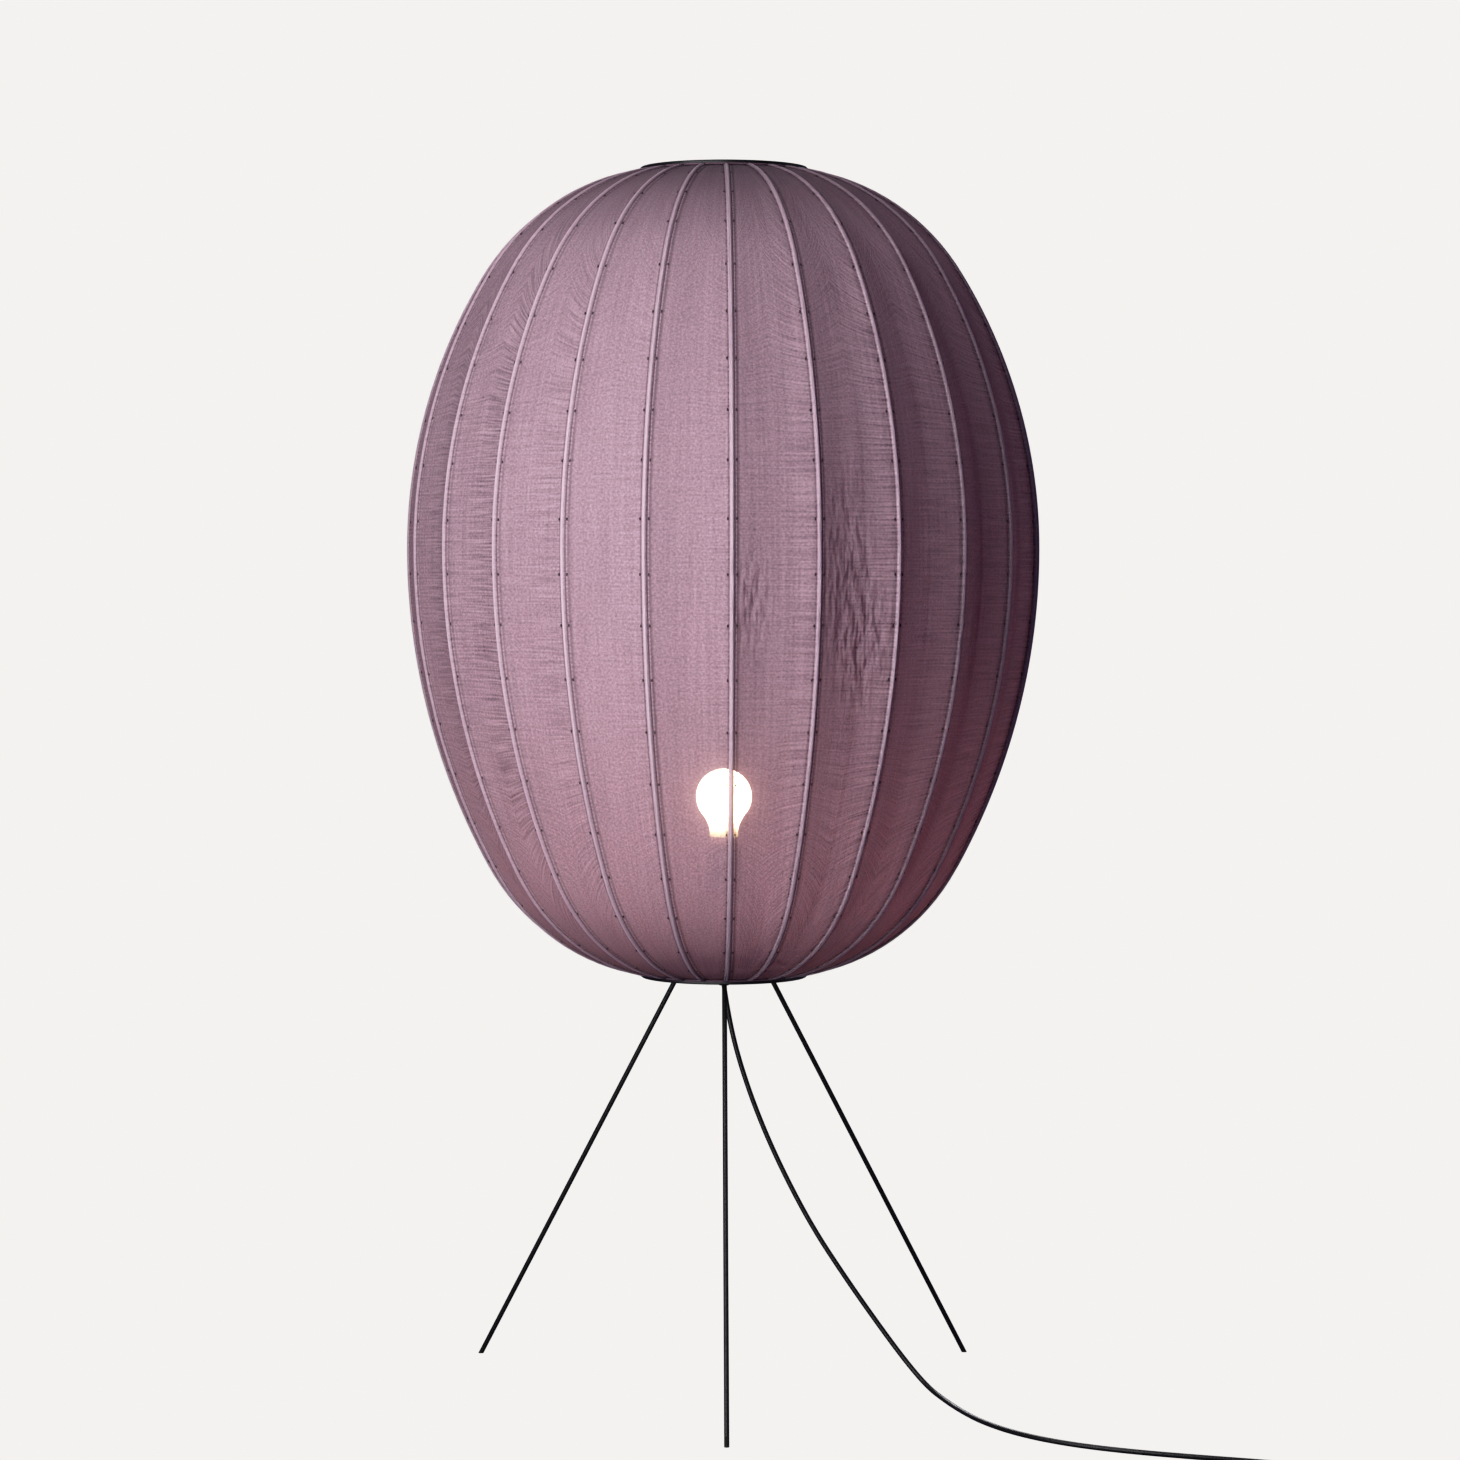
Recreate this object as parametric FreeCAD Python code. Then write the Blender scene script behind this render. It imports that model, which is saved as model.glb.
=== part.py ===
import FreeCAD, Part

import math
import os

# Knitted shade floor lamp: an ovoid knitted shade on 24 sprung rods, standing on three thin
# legs. Millimetres, +Z up, origin on the floor under the lamp's axis, front of the lamp at -Y.

V = FreeCAD.Vector
UP = V(0, 0, 1)

# Shade: outer fabric at a rib, seen in the half plane of radius and height.
rib_count = 24
rib_turn = 1.5                # degrees, the front rib stands this far round towards +X
equator_radius = 325.0
equator_height = 861.0
upper_flank_radius = 540.0
upper_flank_angle = 31.0
lower_flank_radius = 680.0
lower_flank_angle = 28.5
panel_depth = 8.5             # how far a panel draws in between two ribs, at its deepest
fabric_wall = 0.9
rows_per_arc = 4              # facets along each of the profile's four arcs

# Rods that bend the shade open, and the tapes that hold them in tunnels.
rod_radius = 1.6
rod_gap = 0.3
rod_insert = 7.0
socket_gap = 0.15
tape_half_width = 5.0
tape_wall = 0.5

# Rings at the shade's two ends.
ring_radius = 86.0
ring_bore = 68.0
ring_height = 14.0
ring_edge = 1.0
hem_gap = 0.5
hem_step = 3.0                # the hem stops this far short of a ring's outer face
top_ring_top = 1251.5

# Base plate, legs and their rubber tips.
plate_under = 422.0
plate_thickness = 3.0
plate_radius = 78.0
plate_gap = 0.3
leg_count = 3
leg_turn = 0.6                # degrees, the front foot stands this far round towards +X
leg_radius = 2.5
leg_plate_radius = 53.8       # where a leg's axis passes the plate's underside
foot_radius = 300.0
tip_length = 10.0
tip_spigot_radius = 1.5
tip_spigot_length = 6.0
leg_gap = 0.1
leg_socket_radius = 5.0
leg_socket_length = 28.0
leg_socket_floor = 5.0

# Threaded stem, its nuts and the bush that the cord comes out of.
stem_radius = 5.0
stem_bore = 3.1
stem_drop = 8.0               # below the plate
stem_gap = 0.1
stem_in_holder = 9.0
nut_flats = 14.0
nut_height = 4.0
bush_collar = 1.5
bush_spigot = 6.0
bush_gap = 0.05

# Lamp holder for a 27 mm screw cap.
holder_rim = 561.0
shell_height = 36.0
shell_radius = 19.5
shell_bore = 15.0
shell_lip_radius = 21.0
shell_lip_height = 4.0
shell_lip_edge = 1.0
holder_base_height = 22.0
holder_base_neck = 11.0
holder_dome_swell = 1.6
holder_wall = 2.2
carrier_thickness = 6.0
carrier_ledge = 2.0
carrier_gap = 0.2
contact_strip = 0.5
contact_width = 6.0
contact_reach = 11.0           # from the axis to the leaf's fixed end
contact_rise = 3.0
side_contact_height = 20.0

# Bulb: screw cap, insulator, tip contact and opal globe.
globe_radius = 28.5
globe_centre = 607.5
globe_neck = 14.6
globe_flare = 40.0            # degrees below the globe's middle where the neck leaves it
globe_wall = 1.0
cap_radius = 13.1
cap_wall = 0.4
cap_height = 23.5
cap_shoulder = 2.5
cap_mouth = 11.6
cap_gap = 0.2
neck_insert = 6.0
insulator_height = 5.0
tip_contact_radius = 4.7
tip_contact_height = 2.0
tip_contact_taper = 1.2
contact_play = 0.4

# Cord on the floor, its switch, its coil, tie and plug.
cord_radius = 2.5
cord_lie = 2.55               # height of the cord's axis where it lies on the floor
bend_share = 0.45             # of the shorter run, taken up by the arc at a corner
link_lead_share = 0.35        # straight at each end of the link between switch and coil
switch_centre = V(472, -486, 0)
switch_half_length = 40.0
switch_half_width = 13.0
switch_end_half_width = 4.6
switch_entry = 4.0
switch_split = 8.0
switch_height = 15.0
switch_wall = 1.8
switch_edge = 1.5
switch_end_block = 12.0       # solid at each end, where the cord is clamped
button_radius = 8.0
button_gap = 0.3
button_stand = 3.0
button_flange = 1.5
button_edge = 1.0
button_travel = 2.5
coil_centre = V(376, -452, 0)
coil_radius = 34.0
coil_pitch = 5.6
coil_turns = 1.75             # in each of the two layers
coil_lift = 1.1
tie_wall = 0.8
tie_width = 6.0
tie_gap = 0.5
plug_sleeve = 25.0
plug_sleeve_radius = 5.0
plug_sleeve_lip = 1.0         # the sleeve's thin end stands this far proud of the cord
plug_length = 38.0
plug_half_width = 18.0
plug_edge = 3.0
pin_radius = 2.0
pin_length = 19.0
pin_tip = 1.2
pin_seat = 4.0
pin_root_radius = 1.5
pin_stand_off = 0.5           # the thinner root shows this far in front of the body
pin_spacing = 19.0
pin_gap = 0.05

# Values that follow from those above.
plate_top = plate_under + plate_thickness
hem_radius = ring_radius + hem_gap
hem_bottom = plate_under + hem_step
hem_top = top_ring_top - hem_step
shell_bottom = holder_rim - shell_height
base_bottom = shell_bottom - holder_base_height
stem_bottom = plate_under - stem_drop
stem_top = base_bottom + stem_in_holder
cord_exit = V(0, 0, stem_bottom - bush_collar)
switch_axis = switch_centre + UP * switch_entry
switch_near = switch_axis + V(switch_half_length, 0, 0)
switch_far = switch_axis - V(switch_half_length, 0, 0)

# Route of the cord, from the bush to the switch: it hangs, lands and runs off to the front.
cord_route = [
    cord_exit,
    V(4, 0, 384),
    V(14.5, -1, 338),
    V(33.5, -3, 282),
    V(58.5, -8, 225),
    V(91, -17, 164),
    V(126, -27, 112),
    V(158, -39, 68),
    V(186, -53, 32),
    V(208, -72, 9),
    V(223, -101, cord_lie),
    V(236, -150, cord_lie),
    V(255, -204, cord_lie),
    V(287, -257, cord_lie),
    V(331, -299, cord_lie),
    V(386, -330, cord_lie),
    V(449, -354, cord_lie),
    V(512, -375, cord_lie),
    V(566, -398, cord_lie),
    V(596, -424, cord_lie),
    V(597, -457, cord_lie),
    V(571, -479, cord_lie),
    V(540, -485.5, cord_lie + 0.5),
    switch_near,
]


def at(azimuth, radius, height):
    """A point by its azimuth in degrees, measured from -Y towards +X."""
    angle = math.radians(azimuth)
    return V(radius * math.sin(angle), -radius * math.cos(angle), height)


def tangent_at(azimuth):
    angle = math.radians(azimuth)
    return V(math.cos(angle), math.sin(angle), 0)


def rod_from(start, direction, radius, length):
    return Part.makeCylinder(radius, length, start, direction)


def revolved(points):
    """A turned piece from a closed outline of (radius, height) points and (mid, end) arcs."""
    edges = []
    here = V(points[0][0], 0, points[0][1])
    first = here
    for point in points[1:] + [points[0]]:
        if isinstance(point[0], tuple):
            middle, end = (V(r, 0, z) for r, z in point)
            edges.append(Part.Arc(here, middle, end).toShape())
        else:
            end = V(point[0], 0, point[1])
            if (end - here).Length > 1e-6:
                edges.append(Part.LineSegment(here, end).toShape())
        here = end
    if (here - first).Length > 1e-6:
        raise ValueError("open outline")
    return Part.Face(Part.Wire(edges)).revolve(V(0, 0, 0), UP, 360)


def polygon_face(points):
    return Part.Face(Part.makePolygon(points + [points[0]]))


def export(name, shape):
    """Writes one node, and reports a solid that is open or not valid."""
    sound = shape.isValid() and all(solid.isClosed() for solid in shape.Solids)
    if not sound or not shape.Solids:
        print("unsound", name)
    shape.exportStep(os.path.join("parts", name + ".step"))


# Profile of the shade

def arc_points(centre, radius, start, end):
    """Stations (radius, height, normal angle) along an arc, its start left out."""
    steps = range(1, rows_per_arc + 1)
    angles = [start + (end - start) * step / rows_per_arc for step in steps]
    return [
        (centre[0] + radius * math.cos(angle), centre[1] + radius * math.sin(angle), angle)
        for angle in angles
    ]


def half_profile(flank_radius, flank_angle, hem_height):
    """Stations from the equator to one hem: a flank arc, then a tangent shoulder arc."""
    flank_centre = (equator_radius - flank_radius, equator_height)
    flank = arc_points(flank_centre, flank_radius, 0, flank_angle)
    normal = (math.cos(flank_angle), math.sin(flank_angle))
    to_hem = (hem_radius - flank[-1][0], hem_height - flank[-1][1])
    across = to_hem[0] * normal[0] + to_hem[1] * normal[1]
    shoulder_radius = -(to_hem[0] ** 2 + to_hem[1] ** 2) / (2 * across)
    centre = (flank[-1][0] - shoulder_radius * normal[0], flank[-1][1] - shoulder_radius * normal[1])
    hem_angle = math.atan2(hem_height - centre[1], hem_radius - centre[0])
    return flank + arc_points(centre, shoulder_radius, flank_angle, hem_angle)


def profile():
    """Stations from the bottom hem up to the top hem."""
    upper = half_profile(upper_flank_radius, math.radians(upper_flank_angle), hem_top)
    lower = half_profile(lower_flank_radius, -math.radians(lower_flank_angle), hem_bottom)
    return lower[::-1] + [(equator_radius, equator_height, 0.0)] + upper


def fabric_point(station, azimuth, inset):
    """A point of the shade, set in from the rib line along the profile's normal."""
    radius, height, angle = station
    return at(azimuth, radius - inset * math.cos(angle), height - inset * math.sin(angle))


def rib_section(station, offsets):
    """Points round the front rib, from (sideways, inset) offsets in the plane across it."""
    side = tangent_at(rib_turn)
    return [fabric_point(station, rib_turn, inset) + side * across for across, inset in offsets]


def copies_round(shape):
    """The same piece at every rib."""
    turned = []
    for index in range(rib_count):
        copy = shape.copy()
        copy.rotate(V(0, 0, 0), UP, 360 / rib_count * index)
        turned.append(copy)
    return turned


# Shade: one skin whose panels draw in between the ribs, open at both ends.

def shade_loop(station, depth, inset):
    """A closed loop round the shade: at each rib, then two points across the panel."""
    step = 360 / rib_count
    points = []
    for index in range(rib_count):
        azimuth = rib_turn + step * index
        for share, inward in ((0, 0), (1 / 3, depth), (2 / 3, depth)):
            points.append(fabric_point(station, azimuth + step * share, inset + inward))
    return Part.makePolygon(points + [points[0]])


def knitted_shade(stations):
    rows = len(stations) - 1
    depths = [panel_depth * math.sin(math.pi * row / rows) for row in range(rows + 1)]
    outer, inner = (
        [shade_loop(station, depth, inset) for station, depth in zip(stations, depths)]
        for inset in (0, fabric_wall)
    )
    faces = []
    for loops in (outer, inner, [outer[0], inner[0]], [outer[-1], inner[-1]]):
        faces += Part.makeLoft(loops, False, True).Faces
    skin = Part.makeCompound(faces)
    skin.sewShape()
    solid = Part.Solid(skin.Shells[0])
    if solid.Volume < 0:
        solid.reverse()
    return solid


# Rods: each runs along the shade's inside from one ring's socket to the other's.

rod_inset = fabric_wall + rod_gap + rod_radius


def hexagon(radius):
    """Corners of a rod's six-sided section, about the rod's own axis."""
    corners = [math.radians(60 * corner) for corner in range(6)]
    return [(radius * math.cos(a), rod_inset + radius * math.sin(a)) for a in corners]


def ring_mouth(station, side, depth):
    """A place where a rod runs level into a ring, this deep behind the hem; side is 1 at the top."""
    return (station[0] - depth, station[1], side * math.pi / 2)


def bar(stations, offsets):
    sections = [rib_section(station, offsets) for station in stations]
    return Part.makeLoft([Part.makePolygon(s + [s[0]]) for s in sections], True, True)


def rib_rod(stations):
    low = [ring_mouth(stations[0], -1, depth) for depth in (rod_insert, 0)]
    high = [ring_mouth(stations[-1], 1, depth) for depth in (0, rod_insert)]
    return bar([*low, *stations[1:-1], *high], hexagon(rod_radius))


def tunnel_tape(stations):
    """A folded strip behind a rod, whose two edges are sewn to the shade beside the rib."""
    back = rod_inset + rod_radius + rod_gap
    sections = []
    for row, station in enumerate(stations[1:-1], start=1):
        panel_step = math.radians(360 / rib_count / 3)
        depth = panel_depth * math.sin(math.pi * row / (len(stations) - 1))
        reach = station[0] * math.sin(panel_step)
        drop = depth + station[0] * (1 - math.cos(panel_step)) * math.cos(station[2])
        edge = fabric_wall + rod_gap + tape_half_width * drop / reach
        outline = [
            (-tape_half_width, edge),
            (0, back),
            (tape_half_width, edge),
            (tape_half_width, edge + tape_wall),
            (0, back + tape_wall),
            (-tape_half_width, edge + tape_wall),
        ]
        points = rib_section(station, outline)
        sections.append(Part.makePolygon(points + [points[0]]))
    return Part.makeLoft(sections, True, True)


# Rings: moulded hoops with a socket for every rod. The lower one sits on the plate's rim.

def ring_sockets(station, side):
    """The blind holes that the rods' ends push into."""
    ends = [ring_mouth(station, side, depth) for depth in (rod_insert + socket_gap, -rod_insert)]
    return copies_round(bar(ends, hexagon(rod_radius + socket_gap)))


def top_ring(stations):
    low = top_ring_top - ring_height
    hoop = revolved([
        (ring_bore, low),
        (ring_radius - ring_edge, low),
        (ring_radius, low + ring_edge),
        (ring_radius, top_ring_top - ring_edge),
        (ring_radius - ring_edge, top_ring_top),
        (ring_bore + ring_edge, top_ring_top),
        (ring_bore, top_ring_top - ring_edge),
    ])
    return hoop.cut(ring_sockets(stations[-1], 1))


def bottom_ring(stations):
    high = plate_under + ring_height
    hoop = revolved([
        (plate_radius + plate_gap, plate_under),
        (ring_radius - ring_edge, plate_under),
        (ring_radius, plate_under + ring_edge),
        (ring_radius, high - ring_edge),
        (ring_radius - ring_edge, high),
        (ring_bore, high),
        (ring_bore, plate_top),
        (plate_radius + plate_gap, plate_top),
    ])
    return hoop.cut(ring_sockets(stations[0], -1))


# Legs: straight rods from blind sockets on the plate down to their rubber tips.

leg_foot = at(leg_turn, foot_radius, 0)
leg_up = (at(leg_turn, leg_plate_radius, plate_under) - leg_foot).normalize()
leg_root = leg_foot + leg_up * (plate_top / leg_up.z)
leg_end = leg_root + leg_up * (leg_socket_length - leg_socket_floor)


def round_legs(shape):
    """The same piece at every leg."""
    turned = []
    for index in range(leg_count):
        copy = shape.copy()
        copy.rotate(V(0, 0, 0), UP, 360 / leg_count * index)
        turned.append(copy)
    return turned


def leg():
    start = leg_foot + leg_up * tip_length
    spigot = rod_from(start - leg_up * tip_spigot_length, leg_up, tip_spigot_radius, tip_spigot_length)
    length = (leg_end - start).Length - leg_gap
    return rod_from(start, leg_up, leg_radius, length).fuse(spigot).removeSplitter()


def foot_tip():
    """A rubber plug on the leg's spigot, cut level with the floor."""
    below = leg_radius * 2
    tip = rod_from(leg_foot - leg_up * below, leg_up, leg_radius, tip_length + below)
    depth = tip_spigot_length + leg_gap
    bore = rod_from(leg_foot + leg_up * (tip_length - depth), leg_up, tip_spigot_radius + leg_gap, depth)
    reach = tip_length * 2
    floor_block = Part.makeBox(reach, reach, reach, leg_foot - V(reach / 2, reach / 2, reach))
    return tip.cut([bore, floor_block])


def leg_socket():
    """A blind sleeve that leans with the leg and is cut level on the plate."""
    below = leg_socket_radius * 2
    sleeve = rod_from(leg_root - leg_up * below, leg_up, leg_socket_radius, leg_socket_length + below)
    depth = leg_socket_length - leg_socket_floor + below
    bore = rod_from(leg_root - leg_up * below, leg_up, leg_radius + leg_gap, depth)
    reach = below * 4
    plate_block = Part.makeBox(reach, reach, reach, leg_root - V(reach / 2, reach / 2, reach))
    return sleeve.cut([bore, plate_block])


def base_plate():
    plate = Part.makeCylinder(plate_radius, plate_thickness, V(0, 0, plate_under))
    reach = plate_thickness * 4
    hole = rod_from(leg_root - leg_up * reach, leg_up, leg_radius + leg_gap, reach * 2)
    stem_hole = Part.makeCylinder(stem_radius + stem_gap, plate_thickness, V(0, 0, plate_under))
    return plate.cut([*round_legs(hole), stem_hole])


# Stem: a threaded tube clamped through the plate by two nuts. It carries the lamp holder.

def stem_tube():
    return revolved([
        (stem_bore, stem_bottom),
        (stem_radius, stem_bottom),
        (stem_radius, stem_top),
        (stem_bore, stem_top),
    ])


def stem_nut(bottom):
    corner = nut_flats / 2 / math.cos(math.radians(30))
    corners = [at(60 * side, corner, bottom) for side in range(6)]
    nut = polygon_face(corners).extrude(UP * nut_height)
    return nut.cut(Part.makeCylinder(stem_radius + stem_gap, nut_height, V(0, 0, bottom)))


def cord_bushing():
    """A bush in the tube's lower end that keeps the cord off the metal."""
    bore = cord_radius + bush_gap
    return revolved([
        (bore, cord_exit.z),
        (stem_radius - bush_gap, cord_exit.z),
        (stem_radius, stem_bottom),
        (stem_bore - bush_gap, stem_bottom),
        (stem_bore - bush_gap, stem_bottom + bush_spigot),
        (bore, stem_bottom + bush_spigot),
    ])


# Lamp holder: a domed base on the stem, a contact carrier on its ledge, and a shell above.

ledge_height = shell_bottom - carrier_thickness
ledge_bore = shell_radius - holder_wall


def holder_base():
    dome_top = ledge_height - carrier_ledge
    chord_mid = (shell_radius + holder_base_neck) / 2, (base_bottom + dome_top) / 2
    outer_mid = (chord_mid[0] + holder_dome_swell, chord_mid[1] - holder_dome_swell)
    inner = ledge_bore - carrier_ledge
    return revolved([
        (stem_radius + stem_gap, base_bottom),
        (holder_base_neck, base_bottom),
        (outer_mid, (shell_radius, dome_top)),
        (shell_radius, shell_bottom),
        (ledge_bore, shell_bottom),
        (ledge_bore, ledge_height),
        (inner, ledge_height),
        (inner, dome_top),
        (holder_base_neck, stem_top),
        (stem_radius + stem_gap, stem_top),
    ])


def holder_shell():
    return revolved([
        (shell_bore, shell_bottom),
        (shell_radius, shell_bottom),
        (shell_radius, holder_rim - shell_lip_height),
        (shell_lip_radius, holder_rim - shell_lip_height + shell_lip_edge),
        (shell_lip_radius, holder_rim - shell_lip_edge),
        (shell_lip_radius - shell_lip_edge, holder_rim),
        (shell_bore, holder_rim),
    ])


def contact_carrier():
    radius = ledge_bore - carrier_gap
    disc = Part.makeCylinder(radius, carrier_thickness, V(0, 0, ledge_height))
    wire_hole = cord_radius / 2
    holes = [
        Part.makeCylinder(wire_hole, carrier_thickness, V(0, side * radius / 2, ledge_height))
        for side in (-1, 1)
    ]
    return disc.cut(holes)


def centre_contact():
    """A brass leaf, flat on the carrier and sprung up in the middle."""
    low = shell_bottom
    high = low + contact_rise
    outline = [
        V(-contact_reach, 0, low),
        V(-contact_width, 0, low),
        V(-contact_width / 2, 0, high - contact_strip),
        V(contact_width / 2, 0, high - contact_strip),
        V(contact_width / 2, 0, high),
        V(-contact_width / 2 - contact_strip, 0, high),
        V(-contact_width - contact_strip, 0, low + contact_strip),
        V(-contact_reach, 0, low + contact_strip),
    ]
    leaf = polygon_face(outline).extrude(V(0, contact_width, 0))
    leaf.translate(V(0, -contact_width / 2, 0))
    return leaf


def side_contact():
    inner = cap_radius + contact_play
    return Part.makeBox(
        contact_strip, contact_width, side_contact_height, V(inner, -contact_width / 2, shell_bottom)
    )


# Bulb: it screws out of the holder as one piece.

tip_low = shell_bottom + contact_rise + contact_play
insulator_low = tip_low + tip_contact_height
cap_low = insulator_low + insulator_height
cap_high = cap_low + cap_height


def bulb_contact():
    low_radius = tip_contact_radius - tip_contact_taper
    return Part.makeCone(low_radius, tip_contact_radius, tip_contact_height, V(0, 0, tip_low))


def bulb_insulator():
    return Part.makeCone(tip_contact_radius, cap_mouth - cap_gap, insulator_height, V(0, 0, insulator_low))


def bulb_cap():
    inside = cap_radius - cap_wall
    return revolved([
        (cap_mouth - cap_gap, cap_low),
        (cap_mouth, cap_low),
        (cap_radius, cap_low + cap_shoulder),
        (cap_radius, cap_high),
        (inside, cap_high),
        (inside, cap_low + cap_shoulder),
        (cap_mouth - cap_wall - cap_gap, cap_low + cap_wall),
        (cap_mouth - cap_wall - cap_gap, cap_low),
    ])


def globe_outline(inset):
    """Neck, flare and globe as points and arcs, from the neck's foot to the top."""
    flare = math.radians(globe_flare)
    radius = globe_radius - inset
    neck = globe_neck - inset
    leave = (radius * math.cos(flare), globe_centre - radius * math.sin(flare))
    bend = (leave[0] - neck) / (1 - math.cos(flare))
    foot = (neck, leave[1] - bend * math.sin(flare))
    half = flare / 2
    bend_mid = (neck + bend * (1 - math.cos(half)), foot[1] + bend * math.sin(half))
    rise = (math.radians(90) - flare) / 2
    globe_mid = (radius * math.cos(rise), globe_centre + radius * math.sin(rise))
    return foot, (bend_mid, leave), (globe_mid, (0, globe_centre + radius))


def bulb_globe():
    foot, flare, dome = globe_outline(0)
    inner_foot, inner_flare, inner_dome = globe_outline(globe_wall)
    stub = cap_radius - cap_wall - cap_gap
    inner_stub = stub - globe_wall
    seat = cap_high + cap_gap
    outside = [(stub, cap_high - neck_insert), (stub, seat), (foot[0], seat), foot, flare, dome]
    inside = [
        inner_dome[1],
        ((inner_dome[0]), inner_flare[1]),
        (inner_flare[0], inner_foot),
        (inner_foot[0], seat + globe_wall),
        (inner_stub, seat + globe_wall),
        (inner_stub, cap_high - neck_insert),
    ]
    return revolved(outside + inside)


# Cord: smooth tubes on straight runs and tangent arcs.

def corner_arc(start, corner, end):
    """The arc tangent to both legs of a corner, whose ends are equally far from it."""
    leg_length = (start - corner).Length
    turn = (corner - start).getAngle(end - corner)
    radius = leg_length / math.tan(turn / 2)
    inward = ((start + end) * 0.5 - corner).normalize()
    middle = corner + inward * (radius / math.cos(turn / 2) - radius)
    return Part.Arc(start, middle, end), radius


def rounded_path(points):
    """Straight runs joined by arcs as large as each pair of runs allows."""
    edges = []
    radii = []
    here = points[0]
    for before, corner, after in zip(points, points[1:], points[2:]):
        reach = bend_share * min((corner - before).Length, (after - corner).Length)
        start = corner + (before - corner).normalize() * reach
        end = corner + (after - corner).normalize() * reach
        edges.append(Part.LineSegment(here, start).toShape())
        arc, radius = corner_arc(start, corner, end)
        edges.append(arc.toShape())
        radii.append(radius)
        here = end
    edges.append(Part.LineSegment(here, points[-1]).toShape())
    return Part.Wire(edges), radii


def tube(path, section):
    solid = path.makePipeShell([section], True, False)
    area = Part.Face(section).Area
    print("tube volume over section times length:", round(solid.Volume / (area * path.Length), 5))
    return solid


def round_section(point, direction):
    return Part.Wire(Part.makeCircle(cord_radius, point, direction))


def cord_run():
    path, radii = rounded_path(cord_route)
    print("cord run: length", round(path.Length), "radii", [round(r) for r in radii])
    return tube(path, round_section(cord_route[0], cord_route[1] - cord_route[0]))


coil_low = cord_radius + coil_lift
coil_high = coil_low + coil_pitch
coil_start = coil_centre + V(0, -coil_radius, coil_low)


def cord_link():
    """The short stretch from the switch to the coil, easing from one height to the other."""
    ends = switch_far, coil_start
    lead = (ends[0] - ends[1]).x * link_lead_share
    route = [ends[0], ends[0] - V(lead, 0, 0), ends[1] + V(lead, 0, 0), ends[1]]
    path, radii = rounded_path(route)
    print("cord link: length", round(path.Length), "radii", [round(r) for r in radii])
    return tube(path, round_section(ends[0], V(-1, 0, 0)))


def coil_knots():
    """Places and headings every quarter turn: in, up a layer over half a turn, and out again."""
    quarters = round(coil_turns * 4)
    inner = coil_radius - coil_turns * coil_pitch
    stages = []
    for step in range(quarters + 1):
        stages.append((coil_radius - coil_pitch * step / 4, coil_low, -coil_pitch, 0))
    stages.append((inner - coil_pitch / 4, (coil_low + coil_high) / 2, 0, coil_pitch * 2))
    for step in range(quarters + 1):
        stages.append((inner + coil_pitch * step / 4, coil_high, coil_pitch, 0))
    stages[0] = (coil_radius, coil_low, 0, 0)
    stages[-1] = (coil_radius, coil_high, 0, 0)
    knots = []
    for step, (radius, height, widen, climb) in enumerate(stages):
        azimuth = -90 * step
        place = coil_centre + at(azimuth, radius, height)
        onward = tangent_at(azimuth) * (-2 * math.pi * radius) + at(azimuth, widen, climb)
        knots.append((place, onward.normalize()))
    return knots


def biarc(start, heading, end, end_heading):
    """Two tangent arcs from one place and heading to the next."""
    span = end - start
    both = heading + end_heading
    bend = 2 * (1 - heading.dot(end_heading))
    along = span.dot(both)
    reach = (math.sqrt(along ** 2 + bend * span.dot(span)) - along) / bend
    corners = start + heading * reach, end - end_heading * reach
    middle = (corners[0] + corners[1]) * 0.5
    return [corner_arc(start, corners[0], middle)[0], corner_arc(middle, corners[1], end)[0]]


def least_gap(path):
    """The least clear space between neighbouring turns, from points along the coil."""
    points = path.discretize(Distance=2.0)
    skip = int(math.pi * coil_radius / 2.0)
    distances = (
        (points[first] - points[second]).Length
        for first in range(len(points))
        for second in range(first + skip, len(points))
    )
    return min(distances) - 2 * cord_radius


def cord_coil():
    """The put-away length, wound in two layers, with its end running straight to the plug."""
    knots = coil_knots()
    edges = []
    for (start, heading), (end, end_heading) in zip(knots, knots[1:]):
        edges += [arc.toShape() for arc in biarc(start, heading, end, end_heading)]
    last, onward = knots[-1]
    edges.append(Part.LineSegment(last, last + onward * 2 * cord_radius).toShape())
    path = Part.Wire(edges)
    print("coil: length", round(path.Length), "least gap", round(least_gap(path), 2))
    start, heading = knots[0]
    across = UP.cross(heading)
    corners = [math.radians(60 * corner) for corner in range(6)]
    ring = [start + across * (cord_radius * math.cos(a)) + UP * (cord_radius * math.sin(a)) for a in corners]
    return tube(path, Part.makePolygon(ring + [ring[0]]))


def coil_tie():
    """A strap round both layers on the coil's far side."""
    strands = coil_radius - coil_pitch / 2, coil_radius - coil_pitch * 1.5
    inner = strands[1] - cord_radius - tie_gap
    outer = strands[0] + cord_radius + tie_gap
    low = coil_lift - tie_gap / 2
    high = coil_high + cord_radius + tie_gap
    corner = coil_centre + V(-tie_width / 2, inner, low)
    band = V(tie_wall, tie_wall, tie_wall)
    size = V(tie_width, outer - inner, high - low)
    strap = Part.makeBox(
        size.x, size.y + 2 * tie_wall, size.z + 2 * tie_wall, V(corner.x, corner.y - band.y, corner.z - band.z)
    )
    return strap.cut(Part.makeBox(size.x, size.y, size.z, corner))


# Switch: two spindle-shaped half shells with a round push button through the upper one.

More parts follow.
